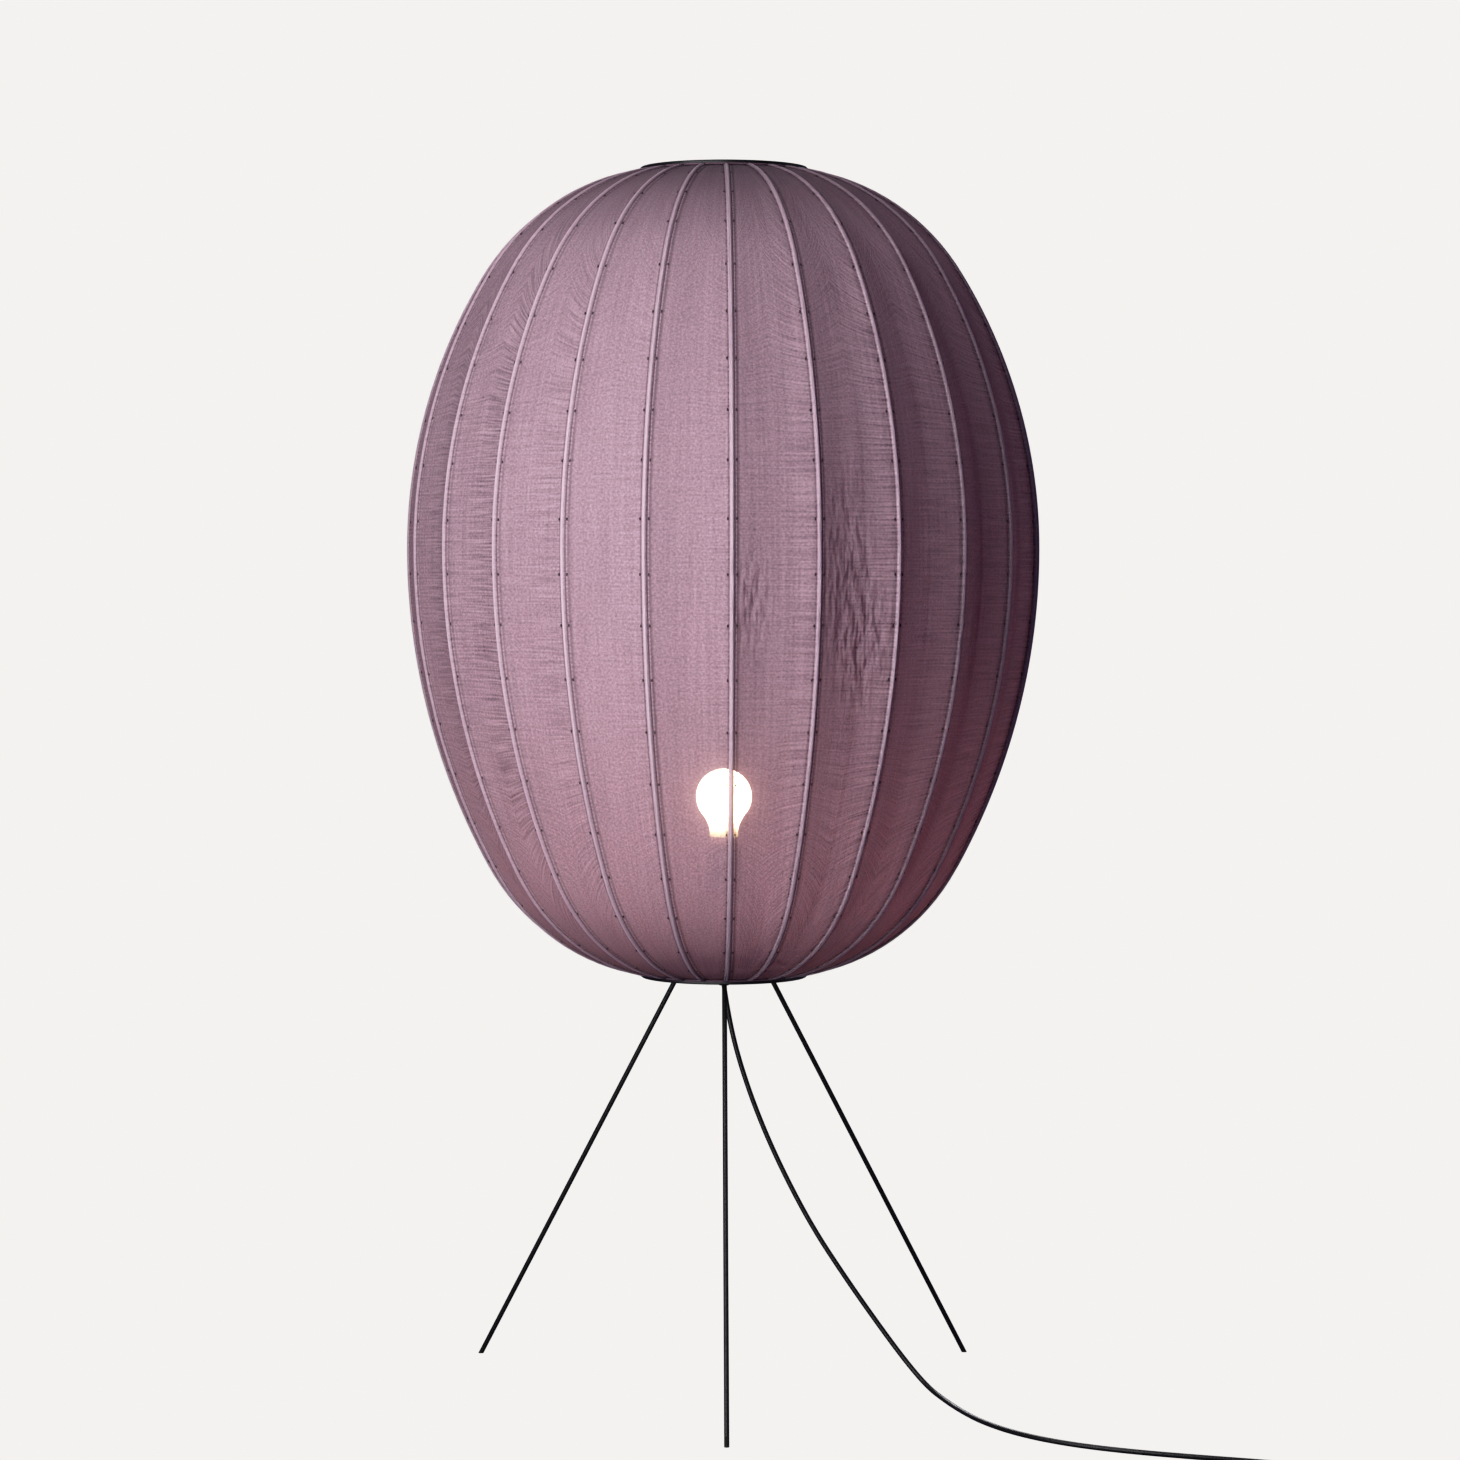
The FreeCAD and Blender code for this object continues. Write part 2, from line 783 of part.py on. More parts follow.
def spindle(half_length, half_width, end_half_width, bottom, height):
    """A slab whose long sides are shallow arcs, over the switch's centre."""
    centre = switch_centre + UP * bottom
    corners = [
        centre + V(x * half_length, y * end_half_width, 0) for x, y in ((-1, -1), (1, -1), (1, 1), (-1, 1))
    ]
    edges = [
        Part.Arc(corners[0], centre - V(0, half_width, 0), corners[1]).toShape(),
        Part.LineSegment(corners[1], corners[2]).toShape(),
        Part.Arc(corners[2], centre + V(0, half_width, 0), corners[3]).toShape(),
        Part.LineSegment(corners[3], corners[0]).toShape(),
    ]
    return Part.Face(Part.Wire(edges)).extrude(UP * height)


def switch_shell(bottom, height):
    return spindle(switch_half_length, switch_half_width, switch_end_half_width, bottom, height)


def switch_hollow(bottom, height):
    half_length = switch_half_length - switch_end_block
    return spindle(half_length, switch_half_width - switch_wall, switch_end_half_width, bottom, height)


def rim_edges(shape, height):
    return [e for e in shape.Edges if all(abs(v.Z - height) < 1e-6 for v in e.Vertexes)]


def switch_base():
    shell = switch_shell(0, switch_split)
    shell = shell.makeFillet(switch_edge, rim_edges(shell, 0))
    return shell.cut(switch_hollow(switch_wall, switch_split - switch_wall))


def switch_cover():
    height = switch_height - switch_split
    shell = switch_shell(switch_split, height)
    shell = shell.makeFillet(switch_edge, rim_edges(shell, switch_height))
    hole = Part.makeCylinder(button_radius + button_gap, height, switch_centre + UP * switch_split)
    return shell.cut([switch_hollow(switch_split, height - switch_wall), hole])


def switch_button():
    """A domed push button, kept in by a flange under the cover."""
    under_cover = switch_height - switch_wall - button_gap
    flange = Part.makeCylinder(
        button_radius + button_flange, button_flange, switch_centre + UP * (under_cover - button_flange)
    )
    top = switch_height + button_stand
    stem = Part.makeCylinder(button_radius, top - under_cover, switch_centre + UP * under_cover)
    return flange.fuse(stem.makeFillet(button_edge, rim_edges(stem, top))).removeSplitter()


# Plug: a moulded body with a tapered sleeve, and two round pins.

plug_axis = V(-1, 0, 0)
plug_entry = coil_centre + V(-2 * cord_radius, -coil_radius, coil_high)
plug_back = plug_entry + plug_axis * plug_sleeve
plug_front = plug_back + plug_axis * plug_length


def plug_body():
    sleeve = Part.makeCone(cord_radius + plug_sleeve_lip, plug_sleeve_radius, plug_sleeve, plug_entry, plug_axis)
    waist = plug_sleeve_radius * 2
    side = V(0, 1, 0)
    level = V(plug_back.x, plug_back.y, 0)
    front = V(plug_front.x, plug_front.y, 0)
    outline = [
        level - side * waist,
        level + plug_axis * waist - side * plug_half_width,
        front - side * plug_half_width,
        front + side * plug_half_width,
        level + plug_axis * waist + side * plug_half_width,
        level + side * waist,
    ]
    body = polygon_face(outline).extrude(UP * 2 * plug_entry.z)
    body = body.makeFillet(plug_edge, body.Edges)
    seats = [rod_from(start, plug_axis, pin_root_radius + pin_gap, pin_seat) for start in pin_starts()]
    return body.fuse(sleeve).removeSplitter().cut(seats)


def pin_starts():
    return [plug_front - plug_axis * pin_seat + V(0, side * pin_spacing / 2, 0) for side in (-1, 1)]


def plug_pins():
    pins = []
    for start in pin_starts():
        root_length = pin_seat + pin_stand_off
        root = rod_from(start, plug_axis, pin_root_radius, root_length)
        pin = rod_from(start + plug_axis * root_length, plug_axis, pin_radius, pin_length - pin_stand_off)
        end = plug_front.x - pin_length
        tip = [e for e in pin.Edges if all(abs(v.X - end) < 1e-6 for v in e.Vertexes)]
        pins.append(pin.makeFillet(pin_tip, tip).fuse(root).removeSplitter())
    return Part.makeCompound(pins)


def main():
    os.makedirs("parts", exist_ok=True)
    stations = profile()
    export("knitted_shade", knitted_shade(stations))
    export("rod_tunnel_tapes", Part.makeCompound(copies_round(tunnel_tape(stations))))
    for number, rod in enumerate(copies_round(rib_rod(stations)), start=1):
        export(f"rib_rod_{number:02d}", rod)
    export("top_ring", top_ring(stations))
    export("bottom_ring", bottom_ring(stations))

    export("base_plate", base_plate())
    export("leg_sockets", Part.makeCompound(round_legs(leg_socket())))
    for number, (rod, tip) in enumerate(zip(round_legs(leg()), round_legs(foot_tip())), start=1):
        export(f"leg_{number}", rod)
        export(f"foot_tip_{number}", tip)

    export("stem_tube", stem_tube())
    export("stem_nuts", Part.makeCompound([stem_nut(plate_under - nut_height), stem_nut(plate_top)]))
    export("cord_bushing", cord_bushing())
    export("cord_riser", Part.makeCylinder(cord_radius, stem_top - cord_exit.z, cord_exit))

    export("holder_base", holder_base())
    export("holder_shell", holder_shell())
    export("contact_carrier", contact_carrier())
    export("centre_contact", centre_contact())
    export("side_contact", side_contact())
    export("bulb_contact", bulb_contact())
    export("bulb_insulator", bulb_insulator())
    export("bulb_cap", bulb_cap())
    export("bulb_globe", bulb_globe())

    export("cord_run", cord_run())
    export("switch_base", switch_base())
    export("switch_cover", switch_cover())
    export("switch_button", switch_button())
    export("cord_link", cord_link())
    export("cord_coil", cord_coil())
    export("coil_tie", coil_tie())
    export("plug_body", plug_body())
    export("plug_pins", plug_pins())


main()
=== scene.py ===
import math
import random

import bmesh
import bpy
from mathutils import Matrix, Vector


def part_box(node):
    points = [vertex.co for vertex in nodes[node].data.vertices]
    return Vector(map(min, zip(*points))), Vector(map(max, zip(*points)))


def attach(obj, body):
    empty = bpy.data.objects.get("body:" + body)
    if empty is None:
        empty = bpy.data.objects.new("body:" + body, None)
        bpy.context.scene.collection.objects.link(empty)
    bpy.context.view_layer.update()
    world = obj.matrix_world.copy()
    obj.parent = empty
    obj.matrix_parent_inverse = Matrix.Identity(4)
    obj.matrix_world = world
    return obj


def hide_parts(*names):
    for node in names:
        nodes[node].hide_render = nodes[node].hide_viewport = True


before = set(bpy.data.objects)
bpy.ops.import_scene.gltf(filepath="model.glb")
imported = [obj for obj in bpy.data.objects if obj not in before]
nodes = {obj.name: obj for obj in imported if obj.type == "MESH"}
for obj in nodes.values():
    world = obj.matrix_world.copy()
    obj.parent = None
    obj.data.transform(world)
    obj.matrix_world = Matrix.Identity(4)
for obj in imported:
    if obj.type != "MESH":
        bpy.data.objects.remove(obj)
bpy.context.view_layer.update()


# Base plate, leg sockets and legs. Mild steel, cut and welded, then powder coated in one batch, so
# all of them share one fine matt black skin. The legs are plain rods that push up into the sockets.

STEEL_PIECES = ["base_plate", "leg_sockets", "leg_1", "leg_2", "leg_3"]


def linear(colour):
    """An sRGB hex colour as linear red, green, blue and alpha."""
    parts = [int(colour[i:i + 2], 16) / 255 for i in (0, 2, 4)]
    return (*(p / 12.92 if p <= 0.04045 else ((p + 0.055) / 1.055) ** 2.4 for p in parts), 1.0)


def per(millimetres):
    """The texture scale at which one repeat of a pattern is this long."""
    return 1000 / millimetres


def blank_material(name):
    """A new material, with its node tree and its shader."""
    material = bpy.data.materials.new(name)
    material.use_nodes = True
    tree = material.node_tree
    return material, tree, tree.nodes["Principled BSDF"]


def connect(tree, node, inputs):
    """Sets each named input of a node to a value, or links it to a socket."""
    for name, value in inputs.items():
        if isinstance(value, bpy.types.NodeSocket):
            tree.links.new(value, node.inputs[name])
        else:
            node.inputs[name].default_value = value


def add(tree, kind, inputs=None, **settings):
    """A new node with its settings and inputs."""
    new = tree.nodes.new("ShaderNode" + kind)
    for name, value in settings.items():
        setattr(new, name, value)
    connect(tree, new, inputs or {})
    return new


def dress(names, material):
    """Gives CAD nodes their finish."""
    for name in names:
        for slot in nodes[name].material_slots:
            slot.material = material


def powder_coat():
    """Baked polyester powder: a fine peel breaks the highlight up, so thin rods read as soft black."""
    material, tree, shader = blank_material("black_powder_coat")
    where = add(tree, "TexCoord").outputs["Object"]
    peel = add(tree, "TexNoise", {"Vector": where, "Scale": per(1.1), "Detail": 3.0}).outputs["Fac"]
    cloud = add(tree, "TexNoise", {"Vector": where, "Scale": per(35), "Detail": 2.0}).outputs["Fac"]
    colour = add(tree, "MixRGB", {
        "Fac": cloud, "Color1": linear("0B0B0C"), "Color2": linear("191819"),
    })
    rough = add(tree, "MapRange", {"Value": peel, "To Min": 0.42, "To Max": 0.62})
    bump = add(tree, "Bump", {"Height": peel, "Strength": 0.15, "Distance": 0.0001})
    connect(tree, shader, {
        "Base Color": colour.outputs["Color"], "Roughness": rough.outputs["Result"],
        "Normal": bump.outputs["Normal"], "IOR": 1.5,
    })
    return material


dress(STEEL_PIECES, powder_coat())


# Foot tips. Black rubber plugs, moulded, pushed on a spigot at the end of each leg and ground level
# where they stand. Rubber is duller than the painted rod above it and greys a little near the floor.

TIPS = ["foot_tip_1", "foot_tip_2", "foot_tip_3"]
DUSTY_HEIGHT = 0.002


def moulded_rubber():
    """Matt rubber: almost no highlight, with floor dust at its foot."""
    material, tree, shader = blank_material("black_moulded_rubber")
    where = add(tree, "TexCoord").outputs["Object"]
    height = add(tree, "SeparateXYZ", {"Vector": where}).outputs["Z"]
    dust = add(tree, "MapRange", {
        "Value": height, "From Min": 0.0, "From Max": DUSTY_HEIGHT, "To Min": 0.5, "To Max": 0.0,
    })
    colour = add(tree, "MixRGB", {
        "Fac": dust.outputs["Result"], "Color1": linear("121212"), "Color2": linear("3A3937"),
    })
    grain = add(tree, "TexNoise", {"Vector": where, "Scale": per(0.5), "Detail": 2.0})
    bump = add(tree, "Bump", {
        "Height": grain.outputs["Fac"], "Strength": 0.3, "Distance": 0.0001,
    })
    connect(tree, shader, {
        "Base Color": colour.outputs["Color"], "Normal": bump.outputs["Normal"], "Roughness": 0.85,
    })
    return material


dress(TIPS, moulded_rubber())


# Stem and nuts. A threaded steel tube, zinc plated, clamped through the plate by two hexagon nuts.
# It carries the lamp holder, and the cord comes down its bore.

THREAD_PITCH = 0.001
THREAD_DEPTH = 0.0003
THREAD_WIDTH = 0.0008
THREAD_STEPS = 20
THREAD_ABOVE_PLATE = 0.006
THREAD_BELOW_HOLDER = 0.001


def piece(name, bm, material):
    """A finished mesh as an object that sits at the origin."""
    mesh = bpy.data.meshes.new(name)
    bm.to_mesh(mesh)
    bm.free()
    mesh.materials.append(material)
    mesh.polygons.foreach_set("use_smooth", [True] * len(mesh.polygons))
    made = bpy.data.objects.new(name, mesh)
    bpy.context.scene.collection.objects.link(made)
    return made


def zinc_plate():
    """Bright zinc over rolled steel: a soft grey metal, faintly clouded by the plating bath."""
    material, tree, shader = blank_material("zinc_plated_steel")
    where = add(tree, "TexCoord").outputs["Object"]
    cloud = add(tree, "TexNoise", {"Vector": where, "Scale": per(6), "Detail": 4.0}).outputs["Fac"]
    colour = add(tree, "MixRGB", {
        "Fac": cloud, "Color1": linear("A9A9A4"), "Color2": linear("D0CFC8"),
    })
    rough = add(tree, "MapRange", {"Value": cloud, "To Min": 0.25, "To Max": 0.45})
    connect(tree, shader, {
        "Base Color": colour.outputs["Color"], "Roughness": rough.outputs["Result"], "Metallic": 1.0,
    })
    return material


def stem_thread(low, high, radius):
    """The crest of the thread: a thin wedge carried round and up the tube."""
    bm = bmesh.new()
    half = THREAD_WIDTH / 2
    wedge = [(-THREAD_DEPTH, -half), (THREAD_DEPTH, 0), (-THREAD_DEPTH, half)]
    corners = [bm.verts.new((radius + out, 0, low + rise)) for out, rise in wedge]
    edges = [bm.edges.new(pair) for pair in zip(corners, corners[1:])]
    turns = int((high - low) / THREAD_PITCH)
    bmesh.ops.spin(
        bm, geom=corners + edges, cent=(0, 0, 0), axis=(0, 0, 1), angle=math.tau * turns,
        dvec=(0, 0, THREAD_PITCH / THREAD_STEPS), steps=turns * THREAD_STEPS,
    )
    bmesh.ops.recalc_face_normals(bm, faces=bm.faces)
    return bm


plating = zinc_plate()
dress(["stem_tube", "stem_nuts"], plating)
thread = piece("stem_thread", stem_thread(
    low=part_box("base_plate")[1].z + THREAD_ABOVE_PLATE,
    high=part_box("holder_base")[0].z - THREAD_BELOW_HOLDER,
    radius=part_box("stem_tube")[1].x,
), plating)
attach(thread, "lamp")


# End rings, cord bush and lamp holder. Black glass-filled nylon and phenolic, injection moulded: the
# rings take the rods' ends in blind sockets, the bush keeps the cord off the tube's edge, and the
# holder's shell screws down on its base.

MOULDED_PIECES = ["top_ring", "bottom_ring", "cord_bushing", "holder_base", "holder_shell"]


def moulded_plastic(name, dark, light, rough_low, rough_high):
    """Injection moulded plastic: a spark-eroded satin grain, with faint flow clouding."""
    material, tree, shader = blank_material(name)
    where = add(tree, "TexCoord").outputs["Object"]
    grain = add(tree, "TexNoise", {"Vector": where, "Scale": per(0.7), "Detail": 3.0}).outputs["Fac"]
    flow = add(tree, "TexNoise", {
        "Vector": where, "Scale": per(18), "Detail": 2.0, "Distortion": 0.6,
    })
    colour = add(tree, "MixRGB", {
        "Fac": flow.outputs["Fac"], "Color1": linear(dark), "Color2": linear(light),
    })
    rough = add(tree, "MapRange", {"Value": grain, "To Min": rough_low, "To Max": rough_high})
    bump = add(tree, "Bump", {"Height": grain, "Strength": 0.25, "Distance": 0.0001})
    connect(tree, shader, {
        "Base Color": colour.outputs["Color"], "Roughness": rough.outputs["Result"],
        "Normal": bump.outputs["Normal"], "IOR": 1.53,
    })
    return material


satin_black = moulded_plastic("black_moulded_nylon", "0C0C0D", "18171A", 0.38, 0.55)
dress(MOULDED_PIECES, satin_black)


# Contact carrier and contacts. A glazed ceramic disc on the holder's ledge carries two stamped brass
# springs, one under the bulb's tip and one against its cap.

def glazed_ceramic():
    """White steatite under a clear glaze: even and glossy, with a few pinholes."""
    material, tree, shader = blank_material("glazed_steatite")
    where = add(tree, "TexCoord").outputs["Object"]
    specks = add(tree, "TexNoise", {"Vector": where, "Scale": per(1.4), "Detail": 4.0})
    colour = add(tree, "MixRGB", {
        "Fac": specks.outputs["Fac"], "Color1": linear("D9D4C9"), "Color2": linear("EFECE4"),
    })
    connect(tree, shader, {
        "Base Color": colour.outputs["Color"], "Roughness": 0.18, "Coat Weight": 0.5,
    })
    return material


def rolled_metal(name, dark, light, rough_low, rough_high):
    """Rolled sheet: fine draw lines along the strip show as streaks in the shine."""
    material, tree, shader = blank_material(name)
    where = add(tree, "TexCoord").outputs["Object"]
    drawn = add(tree, "Mapping", {"Vector": where, "Scale": (1.0, 1.0, 14.0)}).outputs["Vector"]
    lines = add(tree, "TexNoise", {"Vector": drawn, "Scale": per(3), "Detail": 4.0}).outputs["Fac"]
    colour = add(tree, "MixRGB", {"Fac": lines, "Color1": linear(dark), "Color2": linear(light)})
    rough = add(tree, "MapRange", {"Value": lines, "To Min": rough_low, "To Max": rough_high})
    connect(tree, shader, {
        "Base Color": colour.outputs["Color"], "Roughness": rough.outputs["Result"], "Metallic": 1.0,
    })
    return material


dress(["contact_carrier"], glazed_ceramic())
brass = rolled_metal("stamped_brass", "A6853F", "CDAE63", 0.22, 0.4)
dress(["centre_contact", "side_contact", "bulb_contact"], brass)


# Bulb. An opal glass globe, blown and frosted inside, cemented into a rolled aluminium screw cap over
# a black glass insulator. It is lit: white in the globe, yellower in its neck, and dark in the collar
# of cement above the holder.

GLOBE_GLOW = 54.0
COLLAR_HEIGHT = 0.0055
COLLAR_EDGE = 0.0005
NECK_HEIGHT = 0.024


def lit_opal_glass(collar):
    """Opal glass over a lamp: it glows by itself, so its surface shows almost no shading."""
    material, tree, shader = blank_material("lit_opal_glass")
    where = add(tree, "TexCoord").outputs["Object"]
    height = add(tree, "SeparateXYZ", {"Vector": where}).outputs["Z"]
    rise = add(tree, "MapRange", {
        "Value": height, "From Min": collar, "From Max": collar + NECK_HEIGHT,
    }, interpolation_type="SMOOTHSTEP")
    lit = add(tree, "MapRange", {
        "Value": height, "From Min": collar - COLLAR_EDGE, "From Max": collar + COLLAR_EDGE,
    })
    frost = add(tree, "TexNoise", {"Vector": where, "Scale": per(2), "Detail": 2.0})
    glow = add(tree, "MixRGB", {
        "Fac": rise.outputs["Result"], "Color1": linear("544B35"), "Color2": linear("FFC9A6"),
    })
    from_collar = add(tree, "MixRGB", {
        "Fac": lit.outputs["Result"], "Color1": linear("000000"), "Color2": glow.outputs["Color"],
    })
    rough = add(tree, "MapRange", {"Value": frost.outputs["Fac"], "To Min": 0.2, "To Max": 0.32})
    connect(tree, shader, {
        "Base Color": linear("F4EEE4"), "Roughness": rough.outputs["Result"],
        "Emission Color": from_collar.outputs["Color"], "Emission Strength": GLOBE_GLOW,
    })
    return material


dress(["bulb_globe"], lit_opal_glass(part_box("holder_shell")[1].z + COLLAR_HEIGHT))
dress(["bulb_cap"], rolled_metal("rolled_cap_aluminium", "B4B4B2", "D8D8D6", 0.25, 0.42))
dress(["bulb_insulator"], moulded_plastic("black_fused_glass", "060607", "0E0E10", 0.1, 0.2))


# Rods. Pultruded fibreglass, 3.2 mm round, sprung into a bow from the lower ring to the upper one.
# Each lies in a tunnel behind a rib of the shade, and 24 of them hold the cloth out to its egg shape.

RIB_COUNT = 24
RIB_TURN = math.radians(1.5)
EQUATOR_RADIUS = 0.325
EQUATOR_HEIGHT = 0.861
UPPER_FLANK = (0.540, math.radians(31.0))
LOWER_FLANK = (0.680, math.radians(-28.5))
HEM_RADIUS = 0.0865
ROD_RADIUS = 0.0016
ROD_INSET = 0.0028
ROD_SIDES = 8
ROD_ROWS = (10, 12, 12, 10)

UP = Vector((0, 0, 1))
hem_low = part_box("knitted_shade")[0].z
hem_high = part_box("knitted_shade")[1].z


def outward(azimuth):
    """The way out from the axis, at an angle measured from the front towards the right."""
    return Vector((math.sin(azimuth), -math.cos(azimuth), 0))


def half_profile(flank, hem_height):
    """A flank arc and its tangent shoulder arc, each as centre, radius, first and last angle."""
    flank_radius, flank_angle = flank
    flank_centre = Vector((EQUATOR_RADIUS - flank_radius, EQUATOR_HEIGHT))
    normal = Vector((math.cos(flank_angle), math.sin(flank_angle)))
    join = flank_centre + normal * flank_radius
    to_hem = Vector((HEM_RADIUS, hem_height)) - join
    radius = -to_hem.length_squared / (2 * to_hem.dot(normal))
    centre = join - normal * radius
    hem_angle = math.atan2(hem_height - centre.y, HEM_RADIUS - centre.x)
    return [
        (flank_centre, flank_radius, 0.0, flank_angle),
        (centre, radius, flank_angle, hem_angle),
    ]


lower_half = reversed(half_profile(LOWER_FLANK, hem_low))
profile_arcs = [(centre, radius, last, first) for centre, radius, first, last in lower_half]
profile_arcs += half_profile(UPPER_FLANK, hem_high)
profile_length = sum(radius * (last - first) for _, radius, first, last in profile_arcs)


def station_at(distance):
    """Radius, height and normal angle on the shade, this far up the cloth from its lower hem."""
    for centre, radius, first, last in profile_arcs:
        run = radius * (last - first)
        if distance <= run or last == profile_arcs[-1][3]:
            angle = first + distance / radius
            return centre.x + radius * math.cos(angle), centre.y + radius * math.sin(angle), angle
        distance -= run


rib_out = outward(RIB_TURN)
rib_side = UP.cross(rib_out)


def swept(bm, geom, rows):
    """Carries a point or a section up the front rib by turning it about the centre of each arc."""
    for (centre, _, first, last), steps in zip(profile_arcs, rows):
        turned = bmesh.ops.spin(
            bm, geom=geom, cent=rib_out * centre.x + UP * centre.y, axis=rib_out.cross(UP),
            angle=last - first, steps=steps,
        )
        geom = turned["geom_last"]


def section(bm, offsets, closed):
    """A line of points across the front rib at the lower hem, from (sideways, inset) pairs."""
    radius, height, angle = station_at(0)
    verts = []
    for across, inset in offsets:
        inner_radius = radius - inset * math.cos(angle)
        inner_height = height - inset * math.sin(angle)
        place = rib_out * inner_radius + UP * inner_height + rib_side * across
        verts.append(bm.verts.new(place))
    pairs = list(zip(verts, verts[1:])) + ([(verts[-1], verts[0])] if closed else [])
    return verts + [bm.edges.new(pair) for pair in pairs]


def all_round(bm):
    """Repeats what stands at the front rib at every other one."""
    bmesh.ops.spin(
        bm, geom=bm.verts[:] + bm.edges[:] + bm.faces[:], cent=(0, 0, 0), axis=UP,
        angle=math.tau * (RIB_COUNT - 1) / RIB_COUNT, steps=RIB_COUNT - 1, use_duplicate=True,
    )


def rib_rods():
    """A ring swept up the profile and closed at both ends, then repeated."""
    bm = bmesh.new()
    corners = [math.tau * corner / ROD_SIDES for corner in range(ROD_SIDES)]
    ring = [(ROD_RADIUS * math.cos(a), ROD_INSET + ROD_RADIUS * math.sin(a)) for a in corners]
    swept(bm, section(bm, ring, True), ROD_ROWS)
    bmesh.ops.holes_fill(bm, edges=bm.edges, sides=ROD_SIDES)
    bmesh.ops.recalc_face_normals(bm, faces=bm.faces)
    all_round(bm)
    return bm


def pultruded_fibreglass():
    """Glass roving drawn through resin: pale, with long streaks of glass along the rod."""
    material, tree, shader = blank_material("pultruded_fibreglass")
    where = add(tree, "TexCoord").outputs["Object"]
    drawn = add(tree, "Mapping", {"Vector": where, "Scale": (1.0, 1.0, 0.05)}).outputs["Vector"]
    roving = add(tree, "TexNoise", {"Vector": drawn, "Scale": per(0.8), "Detail": 3.0})
    colour = add(tree, "MixRGB", {
        "Fac": roving.outputs["Fac"], "Color1": linear("C9BFA2"), "Color2": linear("E6DEC6"),
    })
    connect(tree, shader, {"Base Color": colour.outputs["Color"], "Roughness": 0.4})
    return material


rods = piece("rib_rods", rib_rods(), pultruded_fibreglass())
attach(rods, "lamp")
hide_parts(*[f"rib_rod_{number:02d}" for number in range(1, RIB_COUNT + 1)])


# Shade. One weft-knitted polyester tube, mauve, fine enough to see the bulb through. It is stretched
# over the rods and drawn in to a hem at each ring, so its panels hollow between the ribs. At each rib
# the knit is tucked round the rod: a pale ridge, a narrow flange to its right and a line of stitching.

SHADE_ROWS = (16, 28, 24, 16)
KNIT_WALL = 0.0009
PANEL_DEPTH = 0.0085
WELD = 0.00001
# Across a rib, in mm: how far to its right or left, and how far the cloth lies in from the rib line.
RIB_RIGHT = [
    (0.0, 0.0), (1.4, 0.3), (2.3, 1.0), (3.0, 2.2), (3.6, 1.8), (4.2, 1.6), (4.8, 1.8), (5.5, 2.3),
    (7.8, 1.95), (12.5, 1.6),
]
RIB_LEFT = [(8.0, 1.6), (4.8, 1.9), (3.0, 2.2), (2.3, 1.0), (1.4, 0.3)]
MIDDLE_COLUMNS = 9
PANEL_COLUMNS = len(RIB_RIGHT) + MIDDLE_COLUMNS + len(RIB_LEFT)
EQUATOR_PANEL = math.tau * EQUATOR_RADIUS / RIB_COUNT
# How far each column of points belongs to the pale ridge, the painted crease shade and the stitched
# flange.
RIDGE_AND_HIGHLIGHT = {0: 1.0, 1: 0.4, -1: 0.4, 2: 0.1, -2: 0.1}
CREASE_SHADE = {-3: 0.6, 3: 0.6, 7: 0.3}
STITCHED = {4: 0.3, 5: 0.5, 6: 0.15}
# How strongly a panel's course lines are painted, counted from the front rib: painted shade of raking
# light.
COURSE_SHADE_BY_PANEL = {-5: 1.4, -4: 1.5, -3: 0.8, -2: 0.35, -1: 0.35, 0: 0.8, 1: 1.3, 2: 1.2}
PUCKERS = 7
# Where a panel hangs slack and wrinkles: which one from the front, place across and up it, half sizes.
SLACK_PATCHES = [
    (0, 0.22, 0.47, 0.018, 0.045), (1, 0.32, 0.50, 0.024, 0.080), (1, 0.62, 0.43, 0.024, 0.055),
    (3, 0.35, 0.45, 0.025, 0.060), (5, 0.40, 0.62, 0.025, 0.055), (7, 0.50, 0.40, 0.025, 0.060),
    (10, 0.35, 0.50, 0.022, 0.070), (12, 0.60, 0.58, 0.020, 0.050), (15, 0.40, 0.45, 0.026, 0.060),
    (18, 0.55, 0.55, 0.020, 0.060),
]
# The knit's patterns, in mm across and up the cloth.
FLECK = 2.6
COURSE = (48, 1.9)
STREAK = (4.5, 120)
CLOUD = 130
WRINKLE = (7.5, 24)
STITCH = 4.2
# Where up the cloth its courses lie level, and how steeply they fan away from there.
LEVEL_RISE = 0.49
COURSE_FAN = 2.4
TONE_LOW, TONE_HIGH = 0.45, 2.05
CLOSED_LOW, CLOSED_HIGH = 0.56, 0.76
LET_THROUGH = 0.35

rng = random.Random(5)


def along_cloth(height):
    """The distance up the cloth from the lower hem, at a height on the profile."""
    run = 0.0
    for centre, radius, first, last in profile_arcs:
        if height <= centre.y + radius * math.sin(last) or last == profile_arcs[-1][3]:
            share = max(-1.0, min(1.0, (height - centre.y) / radius))
            return run + radius * (math.asin(share) - first)
        run += radius * (last - first)


def panel_column(place, width):
    """Distance across a panel, and inset there, for one of its columns of points."""
    if place < len(RIB_RIGHT):
        across, inset = RIB_RIGHT[place]
        return across / 1000, inset / 1000
    left = PANEL_COLUMNS - place
    if left <= len(RIB_LEFT):
        across, inset = RIB_LEFT[-left]
        return width - across / 1000, inset / 1000
    start, end = RIB_RIGHT[-1], RIB_LEFT[0]
    share = (place - len(RIB_RIGHT) + 1) / (MIDDLE_COLUMNS + 1)
    across = start[0] / 1000 + (width - start[0] / 1000 - end[0] / 1000) * share
    return across, (start[1] + (end[1] - start[1]) * share) / 1000


